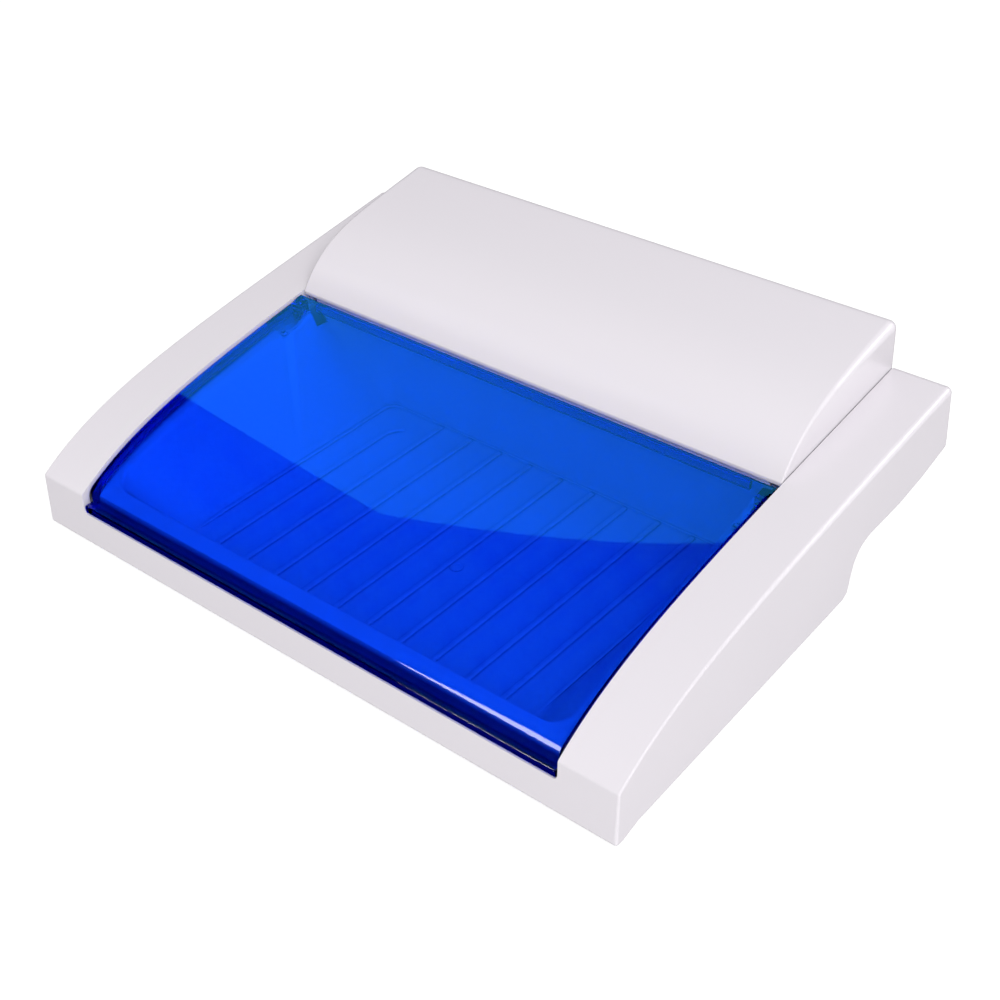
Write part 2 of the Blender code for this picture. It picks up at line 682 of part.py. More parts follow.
def lid_lug(side):
    """Hinge lug at a rear corner, a block that hangs under the lid's side flange."""
    span = sorted((side * LUG_INNER_X, side * LUG_OUTER_X))
    return box("lid_lug", span, (HINGE_Y - 0.0042, HINGE_Y + 0.0040),
               (HINGE_Z - 0.0040, lid_top(HINGE_Y) - 0.0012))


def lid():
    axis = (0.0, HINGE_Y, HINGE_Z)
    cover = slab("lid", lid_outline(0.0, 0.0, LID_REAR_Y), (-LID_HALF, LID_HALF), "yz", BLUE, axis)
    bevel(cover, LID_ROUND, 3)
    inner = LID_HALF - LID_WALL
    cut(cover, slab("lid_cavity", lid_outline(LID_WALL, -0.02, LID_REAR_Y + 0.02), (-inner, inner), "yz"))
    cut(cover, lid_under_cutter())
    lip = box("lid_lip", (-LID_HALF + 0.0002, LID_HALF - 0.0002), (0.0016, LID_FRONT_Y + 0.0018),
              (LID_BOTTOM_Z, LID_BOTTOM_Z + 0.0030))
    join(cover, bevel(lip, 0.0011, 2))
    rear_low = lid_top(LID_REAR_Y) - 0.0070
    rear_flange = box("lid_rear_flange", (-0.1435, 0.1435), (LID_REAR_Y - LID_WALL, LID_REAR_Y - 0.0003),
                      (rear_low, lid_top(LID_REAR_Y) - 0.0012))
    join(cover, rear_flange)
    join(cover, lid_lug(-1), lid_lug(1))
    for side in (-1, 1):
        start = (side * 0.1490, HINGE_Y, HINGE_Z)
        cut(cover, cylinder("lug_bore", PIN_RADIUS + PIN_SLACK, start, 0.010, "x" if side > 0 else "-x"))
    return cover


def hinge_hardware(side, name):
    """Headed pin and the flanged nylon bush that it runs in, in one cheek's inner wall."""
    axis = "x" if side > 0 else "-x"
    pin_start = (side * PIN_INNER_X, HINGE_Y, HINGE_Z)
    pin = [(0.0, 0.0134), (0.0022, 0.0134), (0.0028, 0.0128), (0.0028, 0.0116),
           (PIN_RADIUS, 0.0116), (PIN_RADIUS, 0.0004), (0.0011, 0.0), (0.0, 0.0)]
    turned("hinge_pin_" + name, pin, pin_start, axis, STEEL)
    bush_start = (side * (CHEEK_INNER_X + 0.0001), HINGE_Y, HINGE_Z)
    bore = PIN_RADIUS + PIN_SLACK
    bush = [(bore, 0.0043), (0.0040, 0.0043), (0.0040, 0.0028), (BUSH_RADIUS, 0.0028),
            (BUSH_RADIUS, 0.0), (bore, 0.0)]
    turned("hinge_bush_" + name, bush, bush_start, axis, NYLON, ring=True)


# ------------------------------------------------------------------------------ lamp
def lamp():
    tube_half = LAMP_HALF - CAP_LENGTH - GAP
    bore = LAMP_RADIUS - 0.001
    tube = [(bore, 2 * tube_half), (LAMP_RADIUS, 2 * tube_half), (LAMP_RADIUS, 0.0), (bore, 0.0)]
    turned("lamp_tube", tube, (-tube_half, LAMP_Y, LAMP_Z), "x", GLASS, steps=28, ring=True)
    for side, name in ((-1, "left"), (1, "right")):
        lamp_cap(side, name)
        lamp_holder(side, name)


def lamp_cap(side, name):
    axis = "x" if side > 0 else "-x"
    start = (side * (LAMP_HALF - CAP_LENGTH), LAMP_Y, LAMP_Z)
    cap = cylinder("lamp_cap_" + name, LAMP_RADIUS + 0.0001, start, CAP_LENGTH, axis, ALUMINIUM, 28)
    for offset in (-CAP_PIN_OFFSET, CAP_PIN_OFFSET):
        pin_start = (side * (LAMP_HALF - 0.001), LAMP_Y, LAMP_Z + offset)
        join(cap, cylinder("cap_pin", 0.0012, pin_start, 0.0078, axis, sides=12))


def lamp_holder(side, name):
    """Holder that stands on the tray's shelf, with a round recess for the lamp's pins."""
    inner, outer = LAMP_HALF + GAP, 0.1524
    base = TRAY_SHELF_Z + GAP
    outline = [(LAMP_Y - 0.008, base), (LAMP_Y + 0.008, base)]
    outline += arc((LAMP_Y, LAMP_Z), 0.0078, 0, 180, 10)
    span = sorted((side * inner, side * outer))
    holder = slab("lamp_holder_" + name, outline, span, "yz", WHITE)
    axis = "x" if side > 0 else "-x"
    recess_start = (side * (inner - 0.001), LAMP_Y, LAMP_Z)
    cut(holder, cylinder("holder_recess", 0.0050, recess_start, 0.0083, axis))
    screw_at = (side * HOLDER_SCREW_X, HOLDER_SCREW_Y, 0.060)
    cut(holder, cylinder("holder_pilot", SCREW_PILOT, screw_at, 0.0125, "z", sides=16))


def sheet(name, path, x_half, thickness, material):
    """A folded sheet: the (y, z) path drawn across the cabinet, then thickened."""
    bm = bmesh.new()
    rows = [[bm.verts.new((x, y, z)) for y, z in path] for x in (-x_half, x_half)]
    for i in range(len(path) - 1):
        bm.faces.new((rows[0][i], rows[1][i], rows[1][i + 1], rows[0][i + 1]))
    bmesh.ops.recalc_face_normals(bm, faces=bm.faces)
    mesh = bpy.data.meshes.new(name)
    bm.to_mesh(mesh)
    bm.free()
    obj = place(name, mesh, material)
    modifier = obj.modifiers.new("gauge", "SOLIDIFY")
    modifier.thickness = thickness
    modifier.offset = 0.0
    modifier.use_even_offset = True
    return obj


def lamp_reflector():
    foot_z = TRAY_SHELF_Z + 0.0008
    path = [(0.1840, 0.0818), (0.1925, 0.0903), (0.2040, 0.0943), (0.2125, 0.0905),
            (0.2145, foot_z), (0.2210, foot_z)]
    return sheet("lamp_reflector", path, 0.139, 0.0008, ALUMINIUM)


# ------------------------------------------------------------------------ electrics
def ballast_screw_x(side):
    return BALLAST_X + side * (BALLAST_BASE / 2 - 0.006)


def ballast():
    length, width, height = BALLAST_SIZE
    y_range = (BALLAST_Y - width / 2, BALLAST_Y + width / 2)
    base_top = COMPONENT_Z + 0.0014
    base = box("ballast", (BALLAST_X - BALLAST_BASE / 2, BALLAST_X + BALLAST_BASE / 2), y_range,
               (COMPONENT_Z, base_top), STEEL)
    core = box("ballast_core", (BALLAST_X - length / 2, BALLAST_X + length / 2),
               (y_range[0] + 0.0005, y_range[1] - 0.0005), (COMPONENT_Z + 0.0006, COMPONENT_Z + height))
    join(base, bevel(core, 0.0012, 2))
    for side in (-1, 1):
        cut(base, cylinder("base_hole", SCREW_CLEARANCE, (ballast_screw_x(side), BALLAST_Y, 0.048),
                           0.010, "z", sides=16))
    return base


def starter():
    """Glow starter can, lying across the cabinet, and the socket that holds its end."""
    start = (STARTER_X, BALLAST_Y, COMPONENT_Z + 0.0115)
    can = [(0.0, 0.036), (0.0094, 0.036), (0.0104, 0.035), (0.0104, 0.001), (0.0094, 0.0), (0.0, 0.0)]
    turned("starter_can", can, start, "x", ALUMINIUM)
    socket_range = (STARTER_X - 0.0093, STARTER_X - GAP)
    socket = box("starter_socket", socket_range, (BALLAST_Y - 0.012, BALLAST_Y + 0.012),
                 (COMPONENT_Z, COMPONENT_Z + 0.0235), WHITE)
    bevel(socket, 0.0012, 2)


def terminal_block():
    """Three-way block beside the cord gland, with an open screw well over each way."""
    block = box("terminal_block", (TERMINAL_X - 0.014, TERMINAL_X + 0.014), (0.236, 0.253),
                (COMPONENT_Z, COMPONENT_Z + 0.012), NYLON)
    bevel(block, 0.0008, 2)
    for i in (-1, 0, 1):
        centre = (TERMINAL_X + i * 0.0088, 0.2445, COMPONENT_Z + 0.0045)
        cut(block, cylinder("terminal_well", 0.0022, centre, 0.012, "z", sides=16))
    return block


def wire(name, points, material):
    """An internal lead through hand-placed points, kept in its place by the case."""
    curve = bpy.data.curves.new(name, "CURVE")
    curve.dimensions = "3D"
    curve.bevel_depth = 0.0011
    curve.bevel_resolution = 2
    curve.use_fill_caps = True
    spline = curve.splines.new("POLY")
    smooth_points = rounded_path(points)
    spline.points.add(len(smooth_points) - 1)
    for point, co in zip(spline.points, smooth_points):
        point.co = (*co, 1.0)
    obj = bpy.data.objects.new(name, curve)
    PARTS.objects.link(obj)
    obj.parent = ORIGIN
    curve.materials.append(material)
    return obj


def rounded_path(points, parts=3):
    """A smooth path through the points, by Catmull-Rom interpolation."""
    pts = [Vector(p) for p in points]
    pts = [2 * pts[0] - pts[1]] + pts + [2 * pts[-1] - pts[-2]]
    path = []
    for p0, p1, p2, p3 in zip(pts, pts[1:], pts[2:], pts[3:]):
        for i in range(parts):
            t = i / parts
            path.append(0.5 * (2 * p1 + (p2 - p0) * t + (2 * p0 - 5 * p1 + 4 * p2 - p3) * t ** 2
                               + (3 * p1 - p0 - 3 * p2 + p3) * t ** 3))
    return path + [pts[-2]]


def wires():
    wire("wire_inlet", [(-0.105, 0.2640, 0.0700), (-0.106, 0.2600, 0.0699), (-0.110, 0.2568, 0.0676),
                        (-0.1155, 0.2552, 0.0640), (-0.122, 0.2550, 0.0600)], BLACK)
    wire("wire_switch", [(0.105, 0.2488, 0.0700), (0.100, 0.2450, 0.0760), (0.080, 0.2420, 0.0810),
                         (0.040, 0.2400, 0.0835), (-0.030, 0.2400, 0.0835), (-0.090, 0.2400, 0.0800),
                         (-0.113, 0.2400, 0.0700), (-0.118, 0.2400, 0.0648)], BLACK)
    for side, name in ((-1, "left"), (1, "right")):
        wire("wire_lamp_" + name, [(side * 0.1485, 0.2074, 0.0760), (side * 0.1482, 0.2130, 0.0762),
                                   (side * 0.1460, 0.2210, 0.0750), (side * 0.1380, 0.2270, 0.0720),
                                   (side * 0.1200, 0.2290, 0.0700), (side * 0.1000, 0.2240, 0.0680)],
             WIRE_WHITE)


# --------------------------------------------------------------------- switch, gland
def rocker_frame():
    z0, z1 = OUTLET_Z - 0.0075, OUTLET_Z + 0.0075
    frame = box("rocker_frame", (SWITCH_X - 0.0105, SWITCH_X + 0.0105),
                (PANEL_Y[1] + GAP, PANEL_Y[1] + GAP + 0.0016), (z0, z1), BLACK)
    bevel(frame, 0.0004, 1)
    body = box("rocker_body", (SWITCH_X - 0.0094, SWITCH_X + 0.0094), (0.2500, 0.2680),
               (OUTLET_Z - 0.0064, OUTLET_Z + 0.0064))
    well = box("rocker_well", (SWITCH_X - 0.0080, SWITCH_X + 0.0080), (0.2600, 0.2750),
               (OUTLET_Z - 0.0050, OUTLET_Z + 0.0050))
    join(frame, body)
    cut(frame, well)
    return frame


def rocker_button():
    """Rocker with its two faces meeting in a shallow V, tipped to its off position."""
    pivot = (SWITCH_X, 0.2655, OUTLET_Z)
    outline = [(-0.0073, 0.0032), (-0.0040, 0.0023), (0.0, 0.0019), (0.0040, 0.0023), (0.0073, 0.0032),
               (0.0070, 0.0002), (0.0030, -0.0033), (-0.0030, -0.0033), (-0.0070, 0.0002)]
    button = slab("rocker_button", outline, (-0.0046, 0.0046), "xy", BLACK)
    button.location = pivot
    button.rotation_euler = (0.0, 0.0, radians(8))
    return bevel(button, 0.0003, 1)


def cord_gland():
    """Round inlet with a flange outside the panel and an open bore for the mains cord."""
    start = (GLAND_X, 0.2600, OUTLET_Z)
    profile = [(0.0034, 0.0128), (0.0050, 0.0128), (0.0056, 0.0120), (0.0080, 0.0092), (0.0080, 0.0073),
               (0.0058, 0.0073), (0.0058, 0.0), (0.0034, 0.0)]
    return turned("cord_gland", profile, start, "y", BLACK, ring=True)


# ---------------------------------------------------------------------- feet, screws
def screw(name, start, axis, length, material=STEEL, shank=0.0012, head=0.0030, head_height=0.0018):
    """Pan-head screw: the axis points from its head to its tip, the start is under the head."""
    profile = [(0.0, length), (shank * 0.4, length), (shank, length - 0.0015), (shank, 0.0), (head, 0.0),
               (head, -head_height * 0.55), (head * 0.72, -head_height), (0.0, -head_height)]
    return turned(name, profile, start, axis, material, steps=12)


def feet_and_screws():
    low = PAN_TOP_Z - PAN_WALL
    foot = [(0.0, 0.0065), (0.0020, 0.0065), (0.0020, 0.0036), (0.0078, 0.0036), (0.0078, 0.0026),
            (0.0062, 0.0), (0.0, 0.0)]
    for side, side_name in ((-1, "left"), (1, "right")):
        for row, (boss_y, foot_y) in zip(("front", "rear"), zip(BOSS_YS, FOOT_YS)):
            name = row + "_" + side_name
            turned("foot_" + name, foot, (side * FOOT_X, foot_y, -FOOT_HEIGHT), "z", RUBBER, steps=18)
            screw("pan_screw_" + name, (side * BOSS_X, boss_y, low - GAP), "z", 0.013)
        holder_start = (side * HOLDER_SCREW_X, HOLDER_SCREW_Y, TRAY_SHELF_Z - TRAY_WALL - GAP)
        screw("holder_screw_" + side_name, holder_start, "z", 0.0072, head=0.0026, head_height=0.0014)
        screw("ballast_screw_" + side_name, (ballast_screw_x(side), BALLAST_Y, COMPONENT_Z + 0.0017), "-z",
              0.009, head=0.0028, head_height=0.0015)
        hood_screw_start = (side * HOOD_SCREW_X, HOOD_REAR_Y + GAP, HOOD_SCREW_Z)
        hood_screw = screw("hood_screw_" + side_name, hood_screw_start, "z", 0.0075, head=0.0030,
                           head_height=0.0012)
        hood_screw.rotation_euler = (pi / 2, 0.0, 0.0)


# ------------------------------------------------------------------------------ build
base_shell()
bottom_pan()
inner_tray()
hood_cover()
rear_panel()
lid()
hinge_hardware(-1, "left")
hinge_hardware(1, "right")
lamp()
lamp_reflector()
ballast()
starter()
terminal_block()
wires()
rocker_frame()
rocker_button()
cord_gland()
feet_and_screws()
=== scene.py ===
"""Looks of the desktop steriliser cabinet: fine surfaces, materials, light and camera.

Lengths are in metres. The cabinet's own frame is used for its shapes: x runs across from its
middle, y runs back from the front wall, and z runs up from the lower edge of the front wall.
"""
import json
from math import cos, exp, pi, radians, sin, tan

import bmesh
import bpy
from mathutils import Matrix, Vector


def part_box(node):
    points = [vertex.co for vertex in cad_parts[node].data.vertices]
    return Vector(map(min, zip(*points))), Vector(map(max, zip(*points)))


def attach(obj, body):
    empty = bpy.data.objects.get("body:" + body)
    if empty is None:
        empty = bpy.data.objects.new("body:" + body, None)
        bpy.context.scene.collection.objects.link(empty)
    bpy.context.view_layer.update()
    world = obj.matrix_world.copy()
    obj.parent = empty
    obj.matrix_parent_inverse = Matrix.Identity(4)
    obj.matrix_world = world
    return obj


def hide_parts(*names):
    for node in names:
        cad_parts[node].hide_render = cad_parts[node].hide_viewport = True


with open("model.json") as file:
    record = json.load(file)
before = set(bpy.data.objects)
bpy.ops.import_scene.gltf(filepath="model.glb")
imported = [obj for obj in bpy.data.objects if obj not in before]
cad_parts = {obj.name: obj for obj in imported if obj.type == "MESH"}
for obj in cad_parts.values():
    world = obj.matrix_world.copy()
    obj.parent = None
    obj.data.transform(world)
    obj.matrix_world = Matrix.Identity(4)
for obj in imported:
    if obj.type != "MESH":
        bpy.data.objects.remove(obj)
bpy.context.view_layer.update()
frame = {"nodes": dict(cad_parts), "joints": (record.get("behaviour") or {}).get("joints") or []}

SHELL_LOW, SHELL_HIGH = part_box("base_shell")
TO_ROW = Matrix.Translation((0.0, SHELL_LOW.y, SHELL_LOW.z))   # cabinet frame to the row's frame

# ---- shared dimensions
WIDTH = SHELL_HIGH.x - SHELL_LOW.x
DEPTH = SHELL_HIGH.y - SHELL_LOW.y
CHEEK_INNER_X = 0.158
CHEEK_FRONT_Z = 0.028         # the cheeks' tops: a steady rise plus a swell that dies away
CHEEK_RISE = 0.132
CHEEK_SWELL = 0.0254
CHEEK_SWELL_RUN = 0.0439
CHEEK_REAR_Y = 0.2705
LEDGE_INNER_X = 0.1535
LEDGE_REAR_Z = 0.0585
SHELL_WALL = 0.0025
SHELL_LEAN = 0.0023
FRONT_INNER_Y = 0.0042
NOTCH_Z = 0.0187
NOTCH_ROUND = 0.003
HOOD_SEAT_DROP = 0.012
OPEN_END = 0.290              # well past the cabinet's rear, for cutters

HOOD_FRONT_Y = 0.1705
HOOD_FRONT_Z = 0.075
HOOD_RISE = 0.16
HOOD_SWELL = 0.0243
HOOD_SWELL_RUN = 0.0183
HOOD_REAR_Y = 0.2724
HOOD_HALF = 0.1576
HOOD_REAR_Z = 0.086
HOOD_LIP_Z = 0.0730           # lower edge of the hood's front, over the lid
HOOD_SCREW_X = 0.125
HOOD_SCREW_Z = 0.0912
OUTLET_Z = 0.0700             # height of the switch and the cord gland
VENT_COUNT = 12
VENT_PITCH = 0.0085

HINGE_Y = 0.1625
HINGE_Z = 0.0665
CORNER_SWING = 0.0098         # radius cleared in the tray's rim for the lid's rear corners

LID_HALF = 0.1574
LID_WALL = 0.0024
LID_FRONT_Y = 0.0052
LID_REAR_Y = 0.1678
LID_BOTTOM_Z = NOTCH_Z + 0.0005
LID_RECESS = 0.0008
LID_FLANGE = 0.0062
LID_NOSE = 0.0080
LID_NOSE_ANGLE = 31           # degrees from the nose's end to its crown
LID_LIP_HEIGHT = 0.0046
LID_REAR_DROP = 0.0070
LID_PIN_HOLE = 0.0017

TRAY_FLOOR_Z = 0.0036
TRAY_FLOOR_HALF = 0.118
TRAY_FLOOR_FRONT_Y = 0.028
TRAY_REAR_Y = 0.192
TRAY_RIM_HALF = 0.150
TRAY_RIM_FRONT_Y = 0.0175
TRAY_SHELF_Z = 0.066
REAR_RIM_HALF = 0.1466
TRAY_WALL = 0.0018
CREASE_RIM_Y = 0.1445
CREASE_FLOOR_Y = 0.117
FLANGE_HALF = 0.1535
FLANGE_FRONT_Y = 0.0104
FLANGE_FRONT_Z = 0.0262
RIB_COUNT = 10
RIB_PITCH = 0.0216
RIB_HALF = 0.0017
RIB_HEIGHT = 0.0013
BEAD_HALF = 0.0013
BEAD_HEIGHT = 0.0011


def cheek_top(y):
    return CHEEK_FRONT_Z + CHEEK_RISE * y + CHEEK_SWELL * (1 - exp(-y / CHEEK_SWELL_RUN))


def cheek_slope(y):
    return CHEEK_RISE + CHEEK_SWELL / CHEEK_SWELL_RUN * exp(-y / CHEEK_SWELL_RUN)


def hood_top(y):
    run = y - HOOD_FRONT_Y
    return HOOD_FRONT_Z + HOOD_RISE * run + HOOD_SWELL * (1 - exp(-run / HOOD_SWELL_RUN))


def lid_top(y):
    return cheek_top(y) - LID_RECESS


def tray_rim(y):
    return cheek_top(y) - 0.0078 - 0.02 * y


def arch(y):
    """The skirts' lower edge, which rises to a crown between front and tail."""
    crown_y, crown_z = 0.118, 0.0188
    span = 0.112 if y < crown_y else 0.1456
    return crown_z * (1 - ((y - crown_y) / span) ** 2)


# ---- mesh helpers
def steps_between(start, end, step):
    count = max(1, round((end - start) / step))
    return [start + (end - start) * i / count for i in range(count + 1)]


def arc(centre, radius, start, end, count):
    angles = [radians(start + (end - start) * i / count) for i in range(count + 1)]
    return [(centre[0] + radius * cos(a), centre[1] + radius * sin(a)) for a in angles]


def blend(a, b, t):
    return a + (b - a) * t


def about(middle, half):
    return middle - half, middle + half

def ease(t):
    t = min(1.0, max(0.0, t))
    return t * t * (3 - 2 * t)


def bezier(a, b, c, count):
    """Points of a quadratic curve from a to c that leaves both ends towards b."""
    points = []
    for i in range(count + 1):
        t = i / count
        points.append(a * (1 - t) ** 2 + b * 2 * t * (1 - t) + c * t * t)
    return points


def direction(path, i):
    """The direction of a path at its point i."""
    return (path[min(i + 1, len(path) - 1)] - path[max(i - 1, 0)]).normalized()

def mesh_object(name, bm):
    bmesh.ops.recalc_face_normals(bm, faces=bm.faces)
    mesh = bpy.data.meshes.new(name)
    bm.to_mesh(mesh)
    bm.free()
    obj = bpy.data.objects.new(name, mesh)
    bpy.context.scene.collection.objects.link(obj)
    return obj


def cap_ends(bm, rings):
    bm.faces.new(rings[0])
    bm.faces.new(list(reversed(rings[-1])))


def loft(bm, rings):
    """Faces from each closed ring to the next, and over both ends."""
    for ring, after in zip(rings, rings[1:]):
        for i in range(len(ring)):
            j = (i + 1) % len(ring)
            bm.faces.new((ring[i], ring[j], after[j], after[i]))
    cap_ends(bm, rings)


def extrusion(name, start, end):
    """A solid between two rings of matching points."""
    bm = bmesh.new()
    rings = [[bm.verts.new(point) for point in ring] for ring in (start, end)]
    cap_ends(bm, rings)
    for i in range(len(start)):
        j = (i + 1) % len(start)
        bm.faces.new((rings[0][i], rings[1][i], rings[1][j], rings[0][j]))
    return mesh_object(name, bm)


def prism(name, points, span):
    """A (y, z) outline given thickness along x."""
    return extrusion(name, *([(x, y, z) for y, z in points] for x in span))


def cuboid(name, x_range, y_range, z_range):
    y0, y1 = y_range
    z0, z1 = z_range
    return prism(name, [(y0, z0), (y1, z0), (y1, z1), (y0, z1)], x_range)


def rod(name, radius, start, end, sides=32):
    bm = bmesh.new()
    bmesh.ops.create_cone(bm, cap_ends=True, segments=sides, radius1=radius, radius2=radius,
                          depth=(Vector(end) - Vector(start)).length)
    turn = (Vector(end) - Vector(start)).to_track_quat("Z", "Y").to_matrix().to_4x4()
    bmesh.ops.transform(bm, verts=bm.verts,
                        matrix=Matrix.Translation((Vector(start) + Vector(end)) / 2) @ turn)
    return mesh_object(name, bm)


TURNS = {"z": Matrix.Identity(4), "-z": Matrix.Rotation(pi, 4, "X"),
         "x": Matrix.Rotation(pi / 2, 4, "Y"), "-x": Matrix.Rotation(-pi / 2, 4, "Y"),
         "y": Matrix.Rotation(-pi / 2, 4, "X"), "-y": Matrix.Rotation(pi / 2, 4, "X")}


def lathe(name, profile, centre, axis="z", steps=48):
    """A turned piece from (radius, height) pairs; the axis is the direction of its height."""
    bm = bmesh.new()
    rings = []
    for radius, height in profile:
        if radius == 0.0:
            rings.append([bm.verts.new((0.0, 0.0, height))])
            continue
        rings.append([bm.verts.new((radius * cos(2 * pi * i / steps),
                                    radius * sin(2 * pi * i / steps), height))
                      for i in range(steps)])
    for lower, upper in zip(rings, rings[1:]):
        for i in range(steps):
            j = (i + 1) % steps
            corners = [lower[i % len(lower)], lower[j % len(lower)],
                       upper[j % len(upper)], upper[i % len(upper)]]
            bm.faces.new(list(dict.fromkeys(corners)))
    bmesh.ops.remove_doubles(bm, verts=bm.verts, dist=1e-7)
    obj = mesh_object(name, bm)
    obj.data.transform(Matrix.Translation(centre) @ TURNS[axis])
    return obj


def settle(obj):
    """Makes the object's modifiers final."""
    graph = bpy.context.evaluated_depsgraph_get()
    mesh = bpy.data.meshes.new_from_object(obj.evaluated_get(graph))
    obj.modifiers.clear()
    old = obj.data
    obj.data = mesh
    mesh.name = obj.name
    bpy.data.meshes.remove(old)
    return obj


def boolean(obj, operation, others):
    """Cuts or joins the others, which are used up."""
    for other in others:
        modifier = obj.modifiers.new(operation, "BOOLEAN")
        modifier.operation = operation
        modifier.solver = "EXACT"
        modifier.object = other
    settle(obj)
    for other in others:
        bpy.data.objects.remove(other, do_unlink=True)
    return obj


def cut(obj, *others):
    return boolean(obj, "DIFFERENCE", others)


def join(obj, *others):
    return boolean(obj, "UNION", others)


SHARP = radians(40)           # edges that turn more than this are rounded


def round_edges(obj, width, segments=3):
    modifier = obj.modifiers.new("round", "BEVEL")
    modifier.width = width
    modifier.segments = segments
    modifier.limit_method = "ANGLE"
    modifier.angle_limit = SHARP
    modifier.use_clamp_overlap = False
    return settle(obj)


FILLET_STEPS = 6


def filleted(points, radius_at):
    """A closed (y, z) outline with its sharp corners rounded."""
    result = []
    for i, point in enumerate(points):
        here = Vector(point)
        before = Vector(points[i - 1]) - here
        after = Vector(points[(i + 1) % len(points)]) - here
        turn = pi - before.angle(after)
        reach = radius_at(*point) * tan(turn / 2)
        if turn < radians(20) or reach < 0.0001:
            result.append(here)
            continue
        before, after = before.normalized(), after.normalized()
        start, end = here + before * reach, here + after * reach
        to_centre = (before + after).normalized()
        centre = here + to_centre * radius_at(*point) / cos(turn / 2)
        spoke = start - centre
        sweep = spoke.angle_signed(end - centre)
        for j in range(FILLET_STEPS + 1):
            angle = -sweep * j / FILLET_STEPS
            result.append(centre + Vector((spoke.x * cos(angle) - spoke.y * sin(angle),
                                           spoke.x * sin(angle) + spoke.y * cos(angle))))
    return result


def rounded_prism(name, outline, half, radius_at):
    """An outline given thickness along x, with its two rims rounded by radius_at(y, z)."""
    count = len(outline)
    area = sum(outline[i - 1].cross(outline[i]) for i in range(count))
    inward = []
    for i in range(count):
        here, after = outline[i], outline[(i + 1) % count]
        along = (after - here).normalized() + (here - outline[i - 1]).normalized()
        inward.append(Vector((-along.y, along.x)).normalized() * (1 if area > 0 else -1))
    bm = bmesh.new()
    rings = []
    for side in (-1, 1):
        for k in range(FILLET_STEPS + 1):
            angle = pi / 2 * k / FILLET_STEPS
            ring = []
            for point, normal in zip(outline, inward):
                radius = radius_at(point.x, point.y)
                shift = radius * (1 - sin(angle)) if side < 0 else radius * (1 - cos(angle))
                depth = radius * (1 - cos(angle)) if side < 0 else radius * (1 - sin(angle))
                moved = point + normal * shift
                ring.append(bm.verts.new((side * (half - depth), moved.x, moved.y)))
            rings.append(ring)
    loft(bm, rings)
    return mesh_object(name, bm)


def round_some(obj, wanted, width, segments=3):
    """Rounds those sharp edges for which wanted(middle, normals) is true."""
    bm = bmesh.new()
    bm.from_mesh(obj.data)
    bmesh.ops.remove_doubles(bm, verts=bm.verts, dist=0.00002)
    chosen = []
    for edge in bm.edges:
        if len(edge.link_faces) == 2 and edge.calc_face_angle(0.0) > SHARP:
            middle = (edge.verts[0].co + edge.verts[1].co) / 2
            if wanted(middle, [f.normal for f in edge.link_faces]):
                chosen.append(edge)
    bmesh.ops.bevel(bm, geom=chosen, offset=width, segments=segments, profile=0.5,
                    affect="EDGES", clamp_overlap=True)
    bm.to_mesh(obj.data)
    bm.free()
    return obj


def finish_piece(obj, body, material, nodes=(), angle=32, placed=False):
    """Smooths a piece, moves it into the row's frame, dresses it, hangs it on its body and hides the
    parts that it stands for.
    """
    if not placed:
        obj.data.transform(TO_ROW)
    obj.data.shade_smooth()
    obj.data.set_sharp_from_angle(angle=radians(angle))
    weighted = obj.modifiers.new("weighted_normals", "WEIGHTED_NORMAL")
    weighted.keep_sharp = True
    settle(obj)
    obj.data.materials.clear()
    obj.data.materials.append(material)
    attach(obj, body)
    if nodes:
        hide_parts(*nodes)
    return obj

def fitting(obj, slot, material, *nodes):
    """Finishes a piece of the base that is already in the row's frame."""
    return finish_piece(obj, "base", material, nodes, placed=True)


